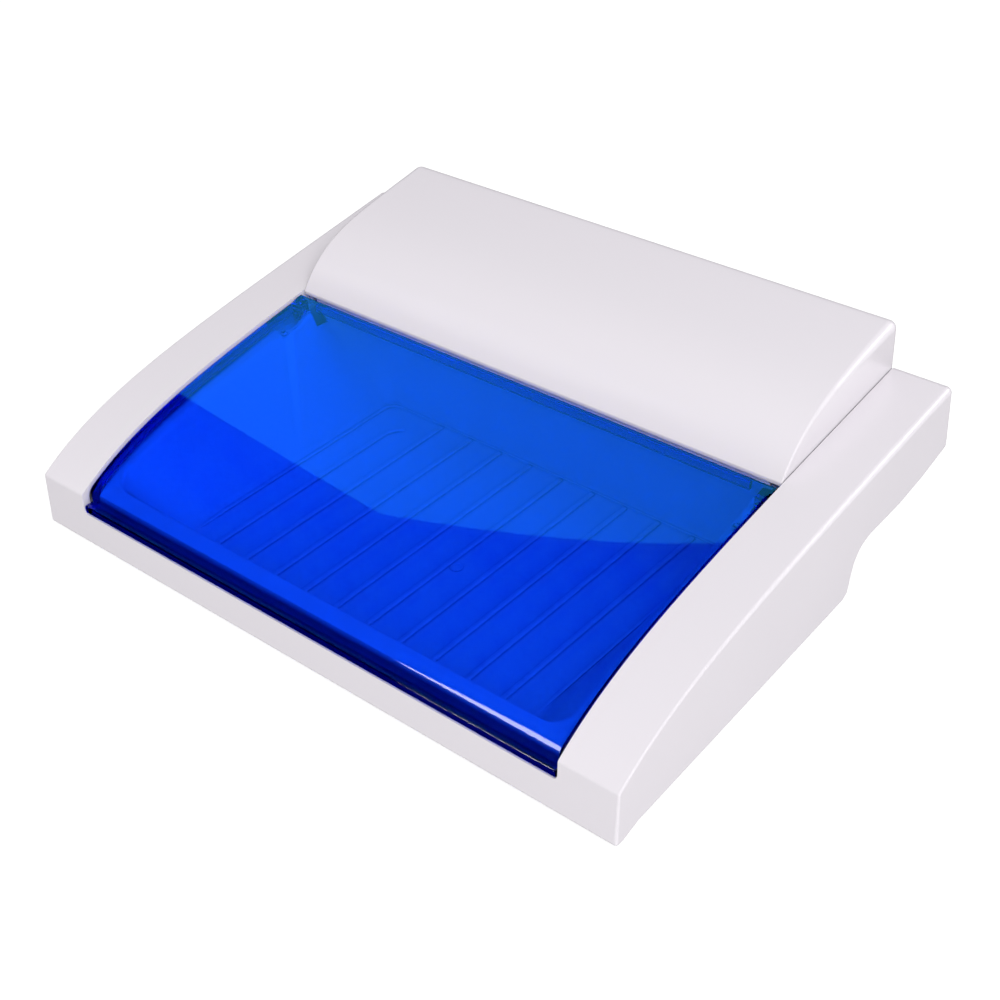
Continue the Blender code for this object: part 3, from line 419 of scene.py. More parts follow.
# ---- materials
class Shading:
    """A node material with one Principled shader, and short ways to feed it."""

    def __init__(self, name, colour, roughness, metallic=0.0, ior=1.5):
        self.material = bpy.data.materials.new(name)
        self.material.use_nodes = True
        self.nodes = self.material.node_tree.nodes
        self.links = self.material.node_tree.links
        self.shader = self.nodes["Principled BSDF"]
        self.shader.inputs["Metallic"].default_value = metallic
        self.shader.inputs["IOR"].default_value = ior
        self.shader.inputs["Base Color"].default_value = (*colour, 1.0)
        self.shader.inputs["Roughness"].default_value = roughness
        self.colour = (*colour, 1.0)
        self.roughness = roughness
        self.place = self.nodes.new("ShaderNodeTexCoord").outputs["Object"]

    def noise(self, scale, detail, stretch=(1.0, 1.0, 1.0)):
        mapping = self.nodes.new("ShaderNodeMapping")
        mapping.inputs["Scale"].default_value = stretch
        self.links.new(self.place, mapping.inputs["Vector"])
        texture = self.nodes.new("ShaderNodeTexNoise")
        texture.inputs["Scale"].default_value = scale
        texture.inputs["Detail"].default_value = detail
        self.links.new(mapping.outputs["Vector"], texture.inputs["Vector"])
        return texture.outputs["Fac"]

    def spread(self, value, low, high, start=0.3, end=0.7):
        """The value's range from start to end, stretched over low to high."""
        node = self.nodes.new("ShaderNodeMapRange")
        ends = {"From Min": start, "From Max": end, "To Min": low, "To Max": high}
        for name, number in ends.items():
            node.inputs[name].default_value = number
        self.links.new(value, node.inputs["Value"])
        return node.outputs["Result"]

    def tint(self, factor, other):
        """Mixes the colour so far towards the other one."""
        mix = self.nodes.new("ShaderNodeMix")
        mix.data_type = "RGBA"
        self.links.new(factor, mix.inputs["Factor"])
        socket = self.shader.inputs["Base Color"]
        if socket.links:
            self.links.new(socket.links[0].from_socket, mix.inputs["A"])
        else:
            mix.inputs["A"].default_value = self.colour
        mix.inputs["B"].default_value = (*other, 1.0)
        self.links.new(mix.outputs["Result"], socket)
        return self

    def vary_roughness(self, factor, amount):
        result = self.spread(factor, self.roughness - amount, self.roughness + amount)
        self.links.new(result, self.shader.inputs["Roughness"])
        return self

    def bump(self, height, strength, depth):
        node = self.nodes.new("ShaderNodeBump")
        node.inputs["Strength"].default_value = strength
        node.inputs["Distance"].default_value = depth
        self.links.new(height, node.inputs["Height"])
        socket = self.shader.inputs["Normal"]
        if socket.links:
            self.links.new(socket.links[0].from_socket, node.inputs["Normal"])
        self.links.new(node.outputs["Normal"], socket)
        return self

    def paint_gap_shade(self, amount, other, distance, start, end):
        """Painted shade: darkens narrow gaps and corners by how closed in they are, as if shade fell
        there.
        """
        node = self.nodes.new("ShaderNodeAmbientOcclusion")
        node.inputs["Distance"].default_value = distance
        node.samples = 6
        return self.tint(self.spread(node.outputs["AO"], amount, 0.0, start, end), other)


def grained(name, colour, roughness, mottle, other, sway, grain, metallic=0.0):
    """A surface mottled towards another colour, with uneven gloss and a fine grain.

    mottle, sway and grain each give a noise's scale and detail, and then its strength; grain
    ends with its depth.
    """
    s = Shading(name, colour, roughness, metallic)
    s.tint(s.spread(s.noise(*mottle[:2]), 0.0, mottle[2]), other)
    s.vary_roughness(s.noise(*sway[:2]), sway[2])
    return s.bump(s.noise(*grain[:2]), *grain[2:])


def moulded(name, colour, shade, roughness, coat, gap_shade):
    """Glossy moulded plastic: faint flow mottling, soft orange peel, and painted shade in narrow gaps
    when gap_shade is given.
    """
    s = Shading(name, colour, roughness)
    s.tint(s.spread(s.noise(5.0, 2.0), 0.0, 0.5, 0.1, 0.9), shade)
    # painted shade: narrow gaps are tinted darker by how closed in they are
    if gap_shade:
        s.paint_gap_shade(*gap_shade)
    s.vary_roughness(s.noise(22.0, 3.0), 0.04)
    s.bump(s.noise(160.0, 2.0), 0.05, 0.00005)
    s.bump(s.noise(2600.0, 2.0), 0.04, 0.00001)
    s.shader.inputs["Coat Weight"].default_value = coat
    s.shader.inputs["Coat Roughness"].default_value = 0.06
    return s.material


def white_plastic(name, gap_shade):
    return moulded(name, (0.700, 0.668, 0.706), (0.687, 0.655, 0.693), 0.34, 0.25, gap_shade)


def tray_plastic():
    # its last group is painted shade: rib feet, the floor's edges and corners are tinted dark blue-grey
    return moulded("tray_moulding_fine", (0.84, 0.84, 0.88), (0.82, 0.82, 0.86), 0.36, 0.10,
                   (1.0, (0.14, 0.14, 0.20), 0.003, 0.45, 0.92))


def pan_plastic():
    """Spark-eroded grey moulding."""
    s = grained("pan_moulding_fine", (0.60, 0.60, 0.62), 0.55, (9.0, 4.0, 0.5), (0.55, 0.55, 0.57),
                (60.0, 4.0, 0.08), (2200.0, 3.0, 0.5, 0.00006))
    # painted shade: closed-in spots of the pan are tinted darker grey
    return s.paint_gap_shade(0.5, (0.33, 0.33, 0.34), 0.004, 0.1, 0.6).material


def lid_plastic():
    """Clear blue moulding, whose tint deepens with the thickness that is looked through."""
    s = Shading("lid_blue_clear", (0.97, 0.985, 1.0), 0.015, ior=1.45)
    s.shader.inputs["Transmission Weight"].default_value = 1.0
    s.bump(s.noise(14.0, 2.0), 0.02, 0.0002)
    s.bump(s.noise(900.0, 2.0), 0.03, 0.00001)
    absorb = s.nodes.new("ShaderNodeVolumeAbsorption")
    absorb.inputs["Color"].default_value = (0.0, 0.517, 0.929, 1.0)
    absorb.inputs["Density"].default_value = 1200.0
    s.links.new(absorb.outputs["Volume"], s.nodes["Material Output"].inputs["Volume"])
    return s.material


def rubber():
    return grained("foot_rubber_fine", (0.030, 0.030, 0.032), 0.78, (400.0, 4.0, 0.6),
                   (0.075, 0.073, 0.070), (90.0, 3.0, 0.10), (1500.0, 3.0, 0.5, 0.00005)).material


def black_plastic():
    return grained("black_moulding_fine", (0.018, 0.018, 0.020), 0.38, (30.0, 4.0, 0.7),
                   (0.030, 0.030, 0.032), (50.0, 4.0, 0.07), (2400.0, 2.0, 0.3, 0.00003)).material


def zinc_steel():
    """Zinc plate with a faint yellow bloom."""
    s = grained("zinc_steel_fine", (0.60, 0.61, 0.63), 0.32, (300.0, 5.0, 0.8), (0.48, 0.50, 0.53),
                (500.0, 4.0, 0.10), (1800.0, 3.0, 0.3, 0.00002), metallic=1.0)
    return s.tint(s.spread(s.noise(40.0, 2.0), 0.0, 0.25), (0.66, 0.62, 0.50)).material


def bright_aluminium():
    """Rolled sheet, with its brush lines along x."""
    s = Shading("bright_aluminium_fine", (0.86, 0.86, 0.88), 0.20, metallic=1.0)
    lines = s.noise(900.0, 4.0, stretch=(0.02, 1.0, 1.0))
    s.tint(s.spread(lines, 0.0, 0.5), (0.74, 0.74, 0.77))
    s.vary_roughness(lines, 0.08)
    return s.bump(lines, 0.25, 0.00002).material


def lamp_glass():
    s = Shading("lamp_glass_fine", (0.96, 0.98, 1.0), 0.02, ior=1.46)
    s.shader.inputs["Transmission Weight"].default_value = 1.0
    s.vary_roughness(s.noise(120.0, 3.0), 0.015)
    return s.bump(s.noise(60.0, 2.0, stretch=(0.2, 1.0, 1.0)), 0.08, 0.0001).material


def nylon():
    s = grained("nylon_fine", (0.74, 0.73, 0.68), 0.46, (60.0, 4.0, 0.6), (0.68, 0.66, 0.60),
                (200.0, 3.0, 0.06), (1500.0, 2.0, 0.2, 0.00003))
    s.shader.inputs["Subsurface Weight"].default_value = 0.15
    return s.material


def sheath(name, colour, other):
    return grained(name, colour, 0.48, (150.0, 3.0, 0.5), other, (200.0, 3.0, 0.06),
                   (1000.0, 2.0, 0.2, 0.00004)).material


# the hood, rear panel and holders get painted shade, near black-blue, in their narrowest gaps; the
# shell gets none
WHITE = white_plastic("white_moulding_fine", (0.92, (0.05, 0.05, 0.10), 0.008, 0.05, 0.36))
SHELL_WHITE = white_plastic("white_shell_fine", None)
TRAY = tray_plastic()
PAN = pan_plastic()
BLUE = lid_plastic()
RUBBER = rubber()
BLACK = black_plastic()
STEEL = zinc_steel()
ALUMINIUM = bright_aluminium()
GLASS = lamp_glass()
NYLON = nylon()
WIRE_WHITE = sheath("wire_white_fine", (0.78, 0.78, 0.76), (0.70, 0.70, 0.67))
WIRE_BLACK = sheath("wire_black_fine", (0.020, 0.020, 0.022), (0.040, 0.040, 0.042))


# ---- base shell
def ledge_points(drop):
    """The ledge inside each cheek, front to back, lowered by the drop."""
    points = [(0.014, NOTCH_Z + 0.0002)]
    points += [(y, tray_rim(y) - 0.0027) for y in steps_between(0.018, 0.1475, 0.006)]
    points += [(0.148, LEDGE_REAR_Z), (0.1695, LEDGE_REAR_Z)]
    points += [(y, cheek_top(y) - HOOD_SEAT_DROP)
               for y in steps_between(0.1698, CHEEK_REAR_Y, 0.012)]
    return [(y, z - drop) for y, z in points]


def shell_outline():
    front = [(0.0, 0.0), (SHELL_LEAN, cheek_top(SHELL_LEAN))]
    top = [(y, cheek_top(y)) for y in steps_between(0.0055, DEPTH - 0.0018, 0.0037)]
    tail = [(DEPTH, 0.0525), (0.250, 0.0475), (0.228, 0.0437), (0.214, 0.0428), (0.205, 0.0424),
            (0.200, 0.0419), (0.196, 0.0408), (0.1925, 0.0392), (0.1897, 0.0368), (0.1876, 0.0338),
            (0.1862, 0.0303), (0.1850, 0.0255), (0.1838, 0.0205), (0.1826, 0.0176)]
    skirt = [(y, arch(y)) for y in steps_between(0.179, 0.016, 0.004)]
    outline = front + top + tail + skirt + [(0.0085, 0.0010), (0.005, 0.0001)]
    return filleted(outline, lambda y, z: 0.0018 if y < 0.1 else 0.0034)


def shell_round(y, z):
    """Edge radius: crisp along the front of the cheeks' tops, fuller towards the rear."""
    under_top = cheek_top(y) - z
    if under_top < 0.006 and y > 0.001:
        radius = blend(0.0010, 0.0031, ease(y / 0.25))
        return blend(radius, 0.0031, ease((under_top - 0.001) / 0.005)) if y > 0.26 else radius
    if y < 0.012:
        return blend(0.0016, 0.0010, ease((z - 0.018) / 0.008))
    return 0.0030 if y > 0.26 else 0.0015


def shell_cutters():
    above = 0.150
    upper = [(FRONT_INNER_Y, NOTCH_Z + 0.0002)] + ledge_points(0.0)
    upper += [(OPEN_END, cheek_top(OPEN_END) - HOOD_SEAT_DROP), (OPEN_END, above),
              (FRONT_INNER_Y, above)]
    cutters = [prism("upper_opening", upper, (-CHEEK_INNER_X, CHEEK_INNER_X)),
               cuboid("lower_opening", (-LEDGE_INNER_X, LEDGE_INNER_X), (FRONT_INNER_Y, OPEN_END),
                      (-0.050, above))]
    notch = cuboid("front_notch", (-CHEEK_INNER_X, CHEEK_INNER_X), (-0.010, 0.012),
                   (NOTCH_Z, 0.080))
    cutters.append(round_edges(notch, NOTCH_ROUND, 6))
    return cutters + hollow_cutters()


def hollow_cutters():
    low, front = -0.05, FRONT_INNER_Y + 0.0004
    rear = CHEEK_REAR_Y - 0.0005
    under_ledge = [(front + 0.0005, low), (front + 0.0005, NOTCH_Z - SHELL_WALL)]
    under_ledge += [p for p in ledge_points(SHELL_WALL) if p[0] < CHEEK_REAR_Y - 0.001]
    under_ledge += [(rear, under_ledge[-1][1]), (rear, low)]
    under_top = [(front, low)]
    under_top += [(y, cheek_top(y) - SHELL_WALL) for y in steps_between(front, CHEEK_REAR_Y, 0.008)]
    under_top += [(CHEEK_REAR_Y, low)]
    cutters = []
    cheek_x = CHEEK_INNER_X + SHELL_WALL
    for side in (-1, 1):
        ledge_span = sorted((side * (LEDGE_INNER_X + SHELL_WALL), side * (cheek_x + 0.002)))
        top_span = sorted((side * cheek_x, side * (WIDTH / 2 - SHELL_WALL)))
        cutters.append(prism("ledge_hollow", under_ledge, ledge_span))
        cutters.append(prism("cheek_hollow", under_top, top_span))
    return cutters


def at_opening(middle, normals):
    """True on the cheeks' inner upper edges and along the notch in the front face."""
    inner = abs(abs(middle.x) - CHEEK_INNER_X) < 0.0004
    if inner and abs(middle.z - cheek_top(middle.y)) < 0.0006 and middle.y > 0.004:
        return True
    front = min(n.y for n in normals) < -0.9 and middle.y < SHELL_LEAN + 0.0004
    return front and abs(middle.x) < CHEEK_INNER_X + 0.0006 and middle.z > NOTCH_Z - 0.0006


def shell_skin():
    shell = rounded_prism("shell_skin", shell_outline(), WIDTH / 2, shell_round)
    cut(shell, *shell_cutters())
    bush_holes = rod("bush_holes", 0.0032, (-0.170, HINGE_Y, HINGE_Z), (0.170, HINGE_Y, HINGE_Z))
    cut(shell, bush_holes)
    round_some(shell, at_opening, 0.0006)
    finish_piece(shell, "base", SHELL_WHITE, ["base_shell"])


# ---- hood
def hood_outline(inset, bottom):
    top = []
    for y in steps_between(HOOD_FRONT_Y, 0.200, 0.0012) + steps_between(0.202, HOOD_REAR_Y, 0.004):
        slope = HOOD_RISE + HOOD_SWELL / HOOD_SWELL_RUN * exp((HOOD_FRONT_Y - y) / HOOD_SWELL_RUN)
        normal = Vector((slope, -1.0)).normalized() * inset
        top.append((y + normal.x, hood_top(y) + normal.y))
    front, rear = HOOD_FRONT_Y + inset, HOOD_REAR_Y - inset
    rear_margin = 0.0065 if inset == 0.0 else 0.0004
    top = [p for p in top if front + 0.0004 < p[0] < rear - rear_margin]
    front_slope = (top[1][1] - top[0][1]) / (top[1][0] - top[0][0])
    front_top = top[0][1] - front_slope * (top[0][0] - front)
    rear_top = top[-1][1] + HOOD_RISE * (rear - top[-1][0])
    return [(front, bottom), (front, front_top)] + top + [(rear, rear_top), (rear, bottom)]


def hood_round(y, z):
    """Edge radius: crisp where the hood meets the lid, full at its rear."""
    if z < hood_top(y) - 0.008:
        return 0.0016 if y < 0.25 else 0.0040
    return blend(0.0009, 0.0044, ease((y - HOOD_FRONT_Y) / 0.095))


def hood_skin():
    outline = filleted(hood_outline(0.0, 0.055),
                       lambda y, z: 0.0046 if y > 0.25 else 0.0010 if z > 0.07 else 0.0030)
    hood = rounded_prism("hood_skin", outline, HOOD_HALF, hood_round)
    inner = HOOD_HALF - SHELL_WALL
    seat = [(0.160, 0.030), (OPEN_END, 0.030)]
    seat += [(y, cheek_top(y) - HOOD_SEAT_DROP + 0.0003) for y in (OPEN_END, 0.250, 0.210, 0.160)]
    cut(hood, prism("hood_hollow", hood_outline(SHELL_WALL, 0.040), (-inner, inner)),
        prism("hood_seat", seat, (-0.2, 0.2)),
        cuboid("hood_front_window", (-0.2, 0.2), (0.160, 0.1738), (0.050, HOOD_LIP_Z)),
        cuboid("hood_rear_window", (-inner, inner), (0.262, 0.280), (0.050, HOOD_REAR_Z)))
    join(hood, cuboid("hood_front_skirt", (-0.1500, 0.1500), (0.1724, 0.1740), (0.0688, 0.0745)))
    for x in (-HOOD_SCREW_X, HOOD_SCREW_X):
        cut(hood, rod("hood_screw_hole", 0.0017, *((x, y, HOOD_SCREW_Z) for y in (0.262, 0.282))))
    round_some(hood, lambda m, n: abs(m.z - HOOD_LIP_Z) < 0.0002 and m.y < 0.175, 0.0006)
    finish_piece(hood, "base", WHITE, ["hood_cover"])


# ---- lid
def lid_outline(inset, bottom, rear):
    """Front face, rounded nose, then the long curved top."""
    front, crown = LID_FRONT_Y + inset, radians(LID_NOSE_ANGLE)
    centre_y = LID_FRONT_Y + LID_NOSE
    centre_z = lid_top(centre_y - LID_NOSE * sin(crown)) - LID_NOSE * cos(crown)
    nose = arc((centre_y, centre_z), LID_NOSE - inset, 180, 90 + LID_NOSE_ANGLE, 14)
    top = []
    for y in steps_between(0.0095, 0.120, 0.0025) + steps_between(0.124, rear, 0.004):
        normal = Vector((cheek_slope(y), -1.0)).normalized() * inset
        top.append((y + normal.x, lid_top(y) + normal.y))
    top = [p for p in top if nose[-1][0] + 0.0008 < p[0] < rear - 0.0005]
    end = top[-1][1] + CHEEK_RISE * (rear - top[-1][0])
    return [(front, bottom)] + nose + top + [(rear, end), (rear, bottom)]


def lid_under():
    points = [(-0.010, -0.020), (-0.010, LID_BOTTOM_Z), (0.0095, LID_BOTTOM_Z)]
    points += [(y, lid_top(y) - LID_FLANGE * 1.1) for y in steps_between(0.014, 0.180, 0.006)]
    return prism("lid_under", points + [(0.180, -0.020)], (-0.2, 0.2))


def lid_lug(side):
    """Hinge lug that a pin passes through."""
    span = sorted((side * 0.1506, side * 0.1556))
    lug = cuboid("lid_lug", span, (HINGE_Y - 0.0042, HINGE_Y + 0.0040),
                 (HINGE_Z - 0.0040, lid_top(HINGE_Y) - 0.0012))
    return round_edges(lug, 0.0006, 2)


def lid_lip():
    """Thumb lip along the front edge."""
    lip = cuboid("lid_lip", about(0.0, LID_HALF - 0.0002), (0.0016, LID_FRONT_Y + 0.0018),
                 (LID_BOTTOM_Z, LID_BOTTOM_Z + LID_LIP_HEIGHT))
    return round_edges(lip, 0.0011, 4)


def lid_skin():
    outline = filleted(lid_outline(0.0, 0.0, LID_REAR_Y), lambda y, z: 0.0006)
    cover = rounded_prism("lid_skin", outline, LID_HALF,
                          lambda y, z: 0.0018 if y < 0.16 and z > 0.010 else 0.0005)
    inner = LID_HALF - LID_WALL
    hollow = lid_outline(LID_WALL, -0.02, LID_REAR_Y + 0.02)
    cut(cover, prism("lid_hollow", hollow, (-inner, inner)), lid_under())
    rear_z = lid_top(LID_REAR_Y)
    rear_flange = cuboid("lid_rear_flange", (-0.1435, 0.1435),
                         (LID_REAR_Y - LID_WALL, LID_REAR_Y - 0.0003),
                         (rear_z - LID_REAR_DROP, rear_z - 0.0012))
    join(cover, lid_lip(), rear_flange, lid_lug(-1), lid_lug(1))
    for side in (-1, 1):
        cut(cover, rod("lug_bore", LID_PIN_HOLE, (side * 0.1490, HINGE_Y, HINGE_Z),
                       (side * 0.1590, HINGE_Y, HINGE_Z)))
    finish_piece(cover, "lid", BLUE, ["lid"], angle=28)


# ---- tray
def tray_paths():
    """Matching points round one half of the chamber: its floor's edge and its rim."""
    floor, rim = [], []

    def run(count, floor_at, rim_at):
        for i in range(count):
            t = i / count
            floor.append(Vector((*floor_at(t), TRAY_FLOOR_Z)))
            rim.append(Vector(rim_at(t)))

    def over_rim(x, y):
        return x, y, tray_rim(y)

    floor_x, rim_x = TRAY_FLOOR_HALF - 0.010, TRAY_RIM_HALF - 0.012
    floor_y, rim_y = TRAY_FLOOR_FRONT_Y + 0.010, TRAY_RIM_FRONT_Y + 0.012
    run(14, lambda t: (floor_x * t, TRAY_FLOOR_FRONT_Y),
        lambda t: over_rim(rim_x * t, TRAY_RIM_FRONT_Y))
    run(12, lambda t: arc((floor_x, floor_y), 0.010, -90 + 90 * t, 0, 1)[0],
        lambda t: over_rim(*arc((rim_x, rim_y), 0.012, -90 + 90 * t, 0, 1)[0]))
    run(26, lambda t: (TRAY_FLOOR_HALF, blend(floor_y, CREASE_FLOOR_Y, t)),
        lambda t: over_rim(TRAY_RIM_HALF, blend(rim_y, CREASE_RIM_Y, t)))
    crease_z = tray_rim(CREASE_RIM_Y)
    run(12, lambda t: (TRAY_FLOOR_HALF, blend(CREASE_FLOOR_Y, 0.122, t)),
        lambda t: (blend(TRAY_RIM_HALF, REAR_RIM_HALF, ease(t)), blend(CREASE_RIM_Y, 0.1500, t),
                   crease_z))
    run(16, lambda t: (TRAY_FLOOR_HALF, blend(0.122, 0.184, t)),
        lambda t: (REAR_RIM_HALF, blend(0.1500, 0.168, t),
                   blend(crease_z, TRAY_SHELF_Z, ease(t))))
    run(14, lambda t: arc((0.110, 0.184), 0.008, 90 * t, 90, 1)[0], rear_corner)
    run(14, lambda t: (0.110 * (1 - t), TRAY_REAR_Y),
        lambda t: (0.118 * (1 - t), TRAY_REAR_Y, TRAY_SHELF_Z))
    floor.append(Vector((0.0, TRAY_REAR_Y, TRAY_FLOOR_Z)))
    rim.append(Vector((0.0, TRAY_REAR_Y, TRAY_SHELF_Z)))
    return floor, rim


def rear_corner(t):
    """The rim's rounded sweep from the side wall into the rear wall."""
    turn = [Vector(p) for p in ((REAR_RIM_HALF, 0.168), (0.1450, 0.1905), (0.118, TRAY_REAR_Y))]
    x, y = bezier(*turn, 100)[round(100 * t)]
    return x, y, TRAY_SHELF_Z


def flange_edge(point):
    """Outer edge of the rim's flange beside a point of the rim."""
    x, y, z = point
    if y <= TRAY_RIM_FRONT_Y + 0.0001:
        return Vector((x * 0.1530 / TRAY_RIM_HALF, FLANGE_FRONT_Y, FLANGE_FRONT_Z))
    if y < 0.0295:
        outer_y = blend(FLANGE_FRONT_Y, 0.0290, (y - TRAY_RIM_FRONT_Y) / 0.012)
        outer_z = FLANGE_FRONT_Z + (outer_y - FLANGE_FRONT_Y) * 0.75
        return Vector((FLANGE_HALF, outer_y, min(tray_rim(outer_y), outer_z)))
    if y <= CREASE_RIM_Y + 0.0001:
        return Vector((blend(FLANGE_HALF, LID_HALF, ease((y - 0.0295) / 0.008)), y, z))
    if y < 0.1685:
        return Vector((0.1496, y, z))
    if y < TRAY_REAR_Y - 0.0001:
        return Vector((0.1526, 0.172 + (y - 0.168) * 2.08, TRAY_SHELF_Z))
    return Vector((x * 0.1526 / 0.118, 0.222, TRAY_SHELF_Z))


def wall_section(foot, inward, top, edge):
    """Floor fillet, wall, rounded rim, flange and its turned-down edge."""
    wall = top - foot
    rise = wall.normalized()
    outward = (edge - top).normalized()
    section = bezier(foot + inward * 0.0042, foot, foot + rise * 0.0042, 6)
    section += [foot + rise * blend(0.0042, wall.length - 0.0016, i / 8) for i in range(1, 8)]
    section += bezier(top - rise * 0.0016, top, top + outward * 0.0016, 5)
    section += [(top + edge) / 2, edge]
    if edge.y < 0.0106:
        section += [edge + Vector((0.0, -0.0012, -0.0035)), edge + Vector((0.0, -0.0014, -0.0075))]
    else:
        drop = 0.0020 if (edge - top).length > 0.0045 else 0.0003
        section += [edge + Vector((0.0, 0.0, -drop * 0.9)), edge + Vector((0.0, 0.0, -drop))]
    return section


def tray_surface():
    floor, rim = tray_paths()
    count = len(floor)
    bm = bmesh.new()
    rows = []
    for side in (1, -1):
        order = range(count) if side > 0 else range(count - 2, 0, -1)
        for i in order:
            along = direction(floor, i)
            inward = Vector((-along.y, along.x, 0.0))
            section = wall_section(floor[i], inward, rim[i], flange_edge(rim[i]))
            rows.append([bm.verts.new((p.x * side, p.y, p.z)) for p in section])
    bm.faces.new([row[0] for row in rows])
    for i, row in enumerate(rows):
        after = rows[(i + 1) % len(rows)]
        for j in range(len(row) - 1):
            bm.faces.new((row[j], after[j], after[j + 1], row[j + 1]))
    notch_rim(bm, -1)
    notch_rim(bm, 1)
    bmesh.ops.recalc_face_normals(bm, faces=bm.faces)
    floor_face = max(bm.faces, key=lambda f: f.calc_area())
    if floor_face.normal.z < 0:
        bmesh.ops.reverse_faces(bm, faces=bm.faces)
    mesh = bpy.data.meshes.new("tray_skin")
    bm.to_mesh(mesh)
    bm.free()
    tray = bpy.data.objects.new("tray_skin", mesh)
    bpy.context.scene.collection.objects.link(tray)
    return tray


def rib_strip(bm, path, half, height):
    """A raised strip with rounded shoulders along a level path."""
    shape = [(-1.0, -0.4), (-0.86, 0.45), (-0.60, 0.88), (-0.25, 1.0), (0.25, 1.0), (0.60, 0.88),
             (0.86, 0.45), (1.0, -0.4)]
    rings = []
    for i, point in enumerate(path):
        along = direction(path, i)
        across = Vector((along.y, -along.x, 0.0))
        end = min(i, len(path) - 1 - i)
        fall = (0.15, 0.75, 1.0)[min(end, 2)]
        rings.append([bm.verts.new(point + across * a * half + Vector((0, 0, b * height * fall)))
                      for a, b in shape])
    for ring, after in zip(rings, rings[1:]):
        for j in range(len(shape)):
            k = (j + 1) % len(shape)
            bm.faces.new((ring[j], ring[k], after[k], after[j]))
    bm.faces.new(rings[0])
    bm.faces.new(list(reversed(rings[-1])))


def rib_path(x, rear, hook):
    ys = [0.0335, 0.0342, 0.0350] + steps_between(0.040, rear - 0.004, 0.010)
    ys += [rear - 0.0008, rear]
    path = [Vector((x, y, TRAY_FLOOR_Z)) for y in ys]
    if hook:
        turn = [Vector(p) for p in ((x, rear), (x, rear + 0.006), (x + 0.006, rear + 0.012))]
        path = path[:-2] + [p.to_3d() for p in bezier(*turn, 8)]
        for point in path:
            point.z = TRAY_FLOOR_Z
    return path


def bead_path():
    """The fine bead round the floor: up one side, along the rear and down the other side."""
    side_x, rear_y, corner = TRAY_FLOOR_HALF - 0.0022, TRAY_REAR_Y - 0.0010, 0.008
    half = [(side_x, y) for y in steps_between(0.040, rear_y - corner - 0.002, 0.010)]
    half += arc((side_x - corner, rear_y - corner), corner, 0, 90, 8)
    half += [(x, rear_y) for x in steps_between(side_x - corner - 0.002, 0.005, 0.012)]
    whole = [(-x, y) for x, y in half] + list(reversed(half))
    return [Vector((x, y, TRAY_FLOOR_Z)) for x, y in whole]


def tray_ribs():
    bm = bmesh.new()
    for i in range(RIB_COUNT):
        x = (i - (RIB_COUNT - 1) / 2) * RIB_PITCH
        rib_strip(bm, rib_path(x, 0.163 if i == 0 else 0.1895, i == 0), RIB_HALF, RIB_HEIGHT)
    rib_strip(bm, bead_path(), BEAD_HALF, BEAD_HEIGHT)
    return mesh_object("tray_ribs", bm)


def ejector_mark():
    """The small round mark that an ejector pin leaves in the floor."""
    buried, crest, dish = (TRAY_FLOOR_Z + rise for rise in (-0.0006, 0.0003, -0.00005))
    profile = [(0.0, buried), (0.0036, buried), (0.0033, crest), (0.0029, crest), (0.0026, dish),
               (0.0, dish)]
    return lathe("ejector_mark", profile, (0.016, 0.098, 0.0))


def notch_rim(bm, side):
    """Opens the rim where the lid's rear corner swings down into it."""
    low_y, high_y, low_z = HINGE_Y + 0.0020, HINGE_Y + CORNER_SWING, HINGE_Z - 0.0085
    planes = (((0, low_y, 0), (0, 1, 0)), ((0, high_y, 0), (0, 1, 0)), ((0, 0, low_z), (0, 0, 1)))
    for place, normal in planes:
        near = [f for f in bm.faces if f.calc_center_median().x * side > 0.138
                and low_y - 0.012 < f.calc_center_median().y < high_y + 0.012]
        edges = list({e for f in near for e in f.edges})
        verts = list({v for f in near for v in f.verts})
        bmesh.ops.bisect_plane(bm, geom=near + edges + verts, plane_co=place, plane_no=normal,
                               dist=1e-6)
    inside = [f for f in bm.faces if f.calc_center_median().x * side > 0.138
              and low_y < f.calc_center_median().y < high_y and f.calc_center_median().z > low_z]
    bmesh.ops.delete(bm, geom=inside, context="FACES")


def tray_skin():
    tray = tray_surface()
    solid = tray.modifiers.new("wall", "SOLIDIFY")
    solid.thickness = TRAY_WALL
    solid.offset = -1.0
    settle(tray)
    finish_piece(tray, "base", TRAY, ["inner_tray"])
    finish_piece(tray_ribs(), "base", TRAY, angle=60)
    finish_piece(ejector_mark(), "base", TRAY)


# ---- screws, feet, fittings
def middle_of(node):
    low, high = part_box(node)
    return (low + high) / 2, low, high


def screw_head(node, axis, radius, height, length):
    """Pan head with a cross recess, its washer face and its shank."""
    centre, low, high = middle_of(node)
    base = {"z": (centre.x, centre.y, low.z + height), "-z": (centre.x, centre.y, high.z - height),
            "-y": (centre.x, high.y - height, centre.z)}[axis]
    profile = [(0.0, length), (0.0009, length - 0.0002), (0.0012, length - 0.0014), (0.0012, 0.0),
               (radius, 0.0), (radius, -height * 0.25)]
    profile += [(radius * cos(radians(a)), -height * (0.25 + 0.75 * sin(radians(a))))
                for a in range(15, 90, 15)]
    head = lathe(node + "_fine", profile + [(0.0, -height)], (0.0, 0.0, 0.0), steps=40)
    for turn in (45, 135):
        slot = cuboid("recess", (-0.00038, 0.00038), (-radius * 0.55, radius * 0.55),
                      (-height * 1.4, -height * 0.35))
        slot.data.transform(Matrix.Rotation(radians(turn), 4, "Z"))
        cut(head, slot)
    head.data.transform(Matrix.Translation(base) @ TURNS[axis])
    fitting(head, "steel", STEEL, node)

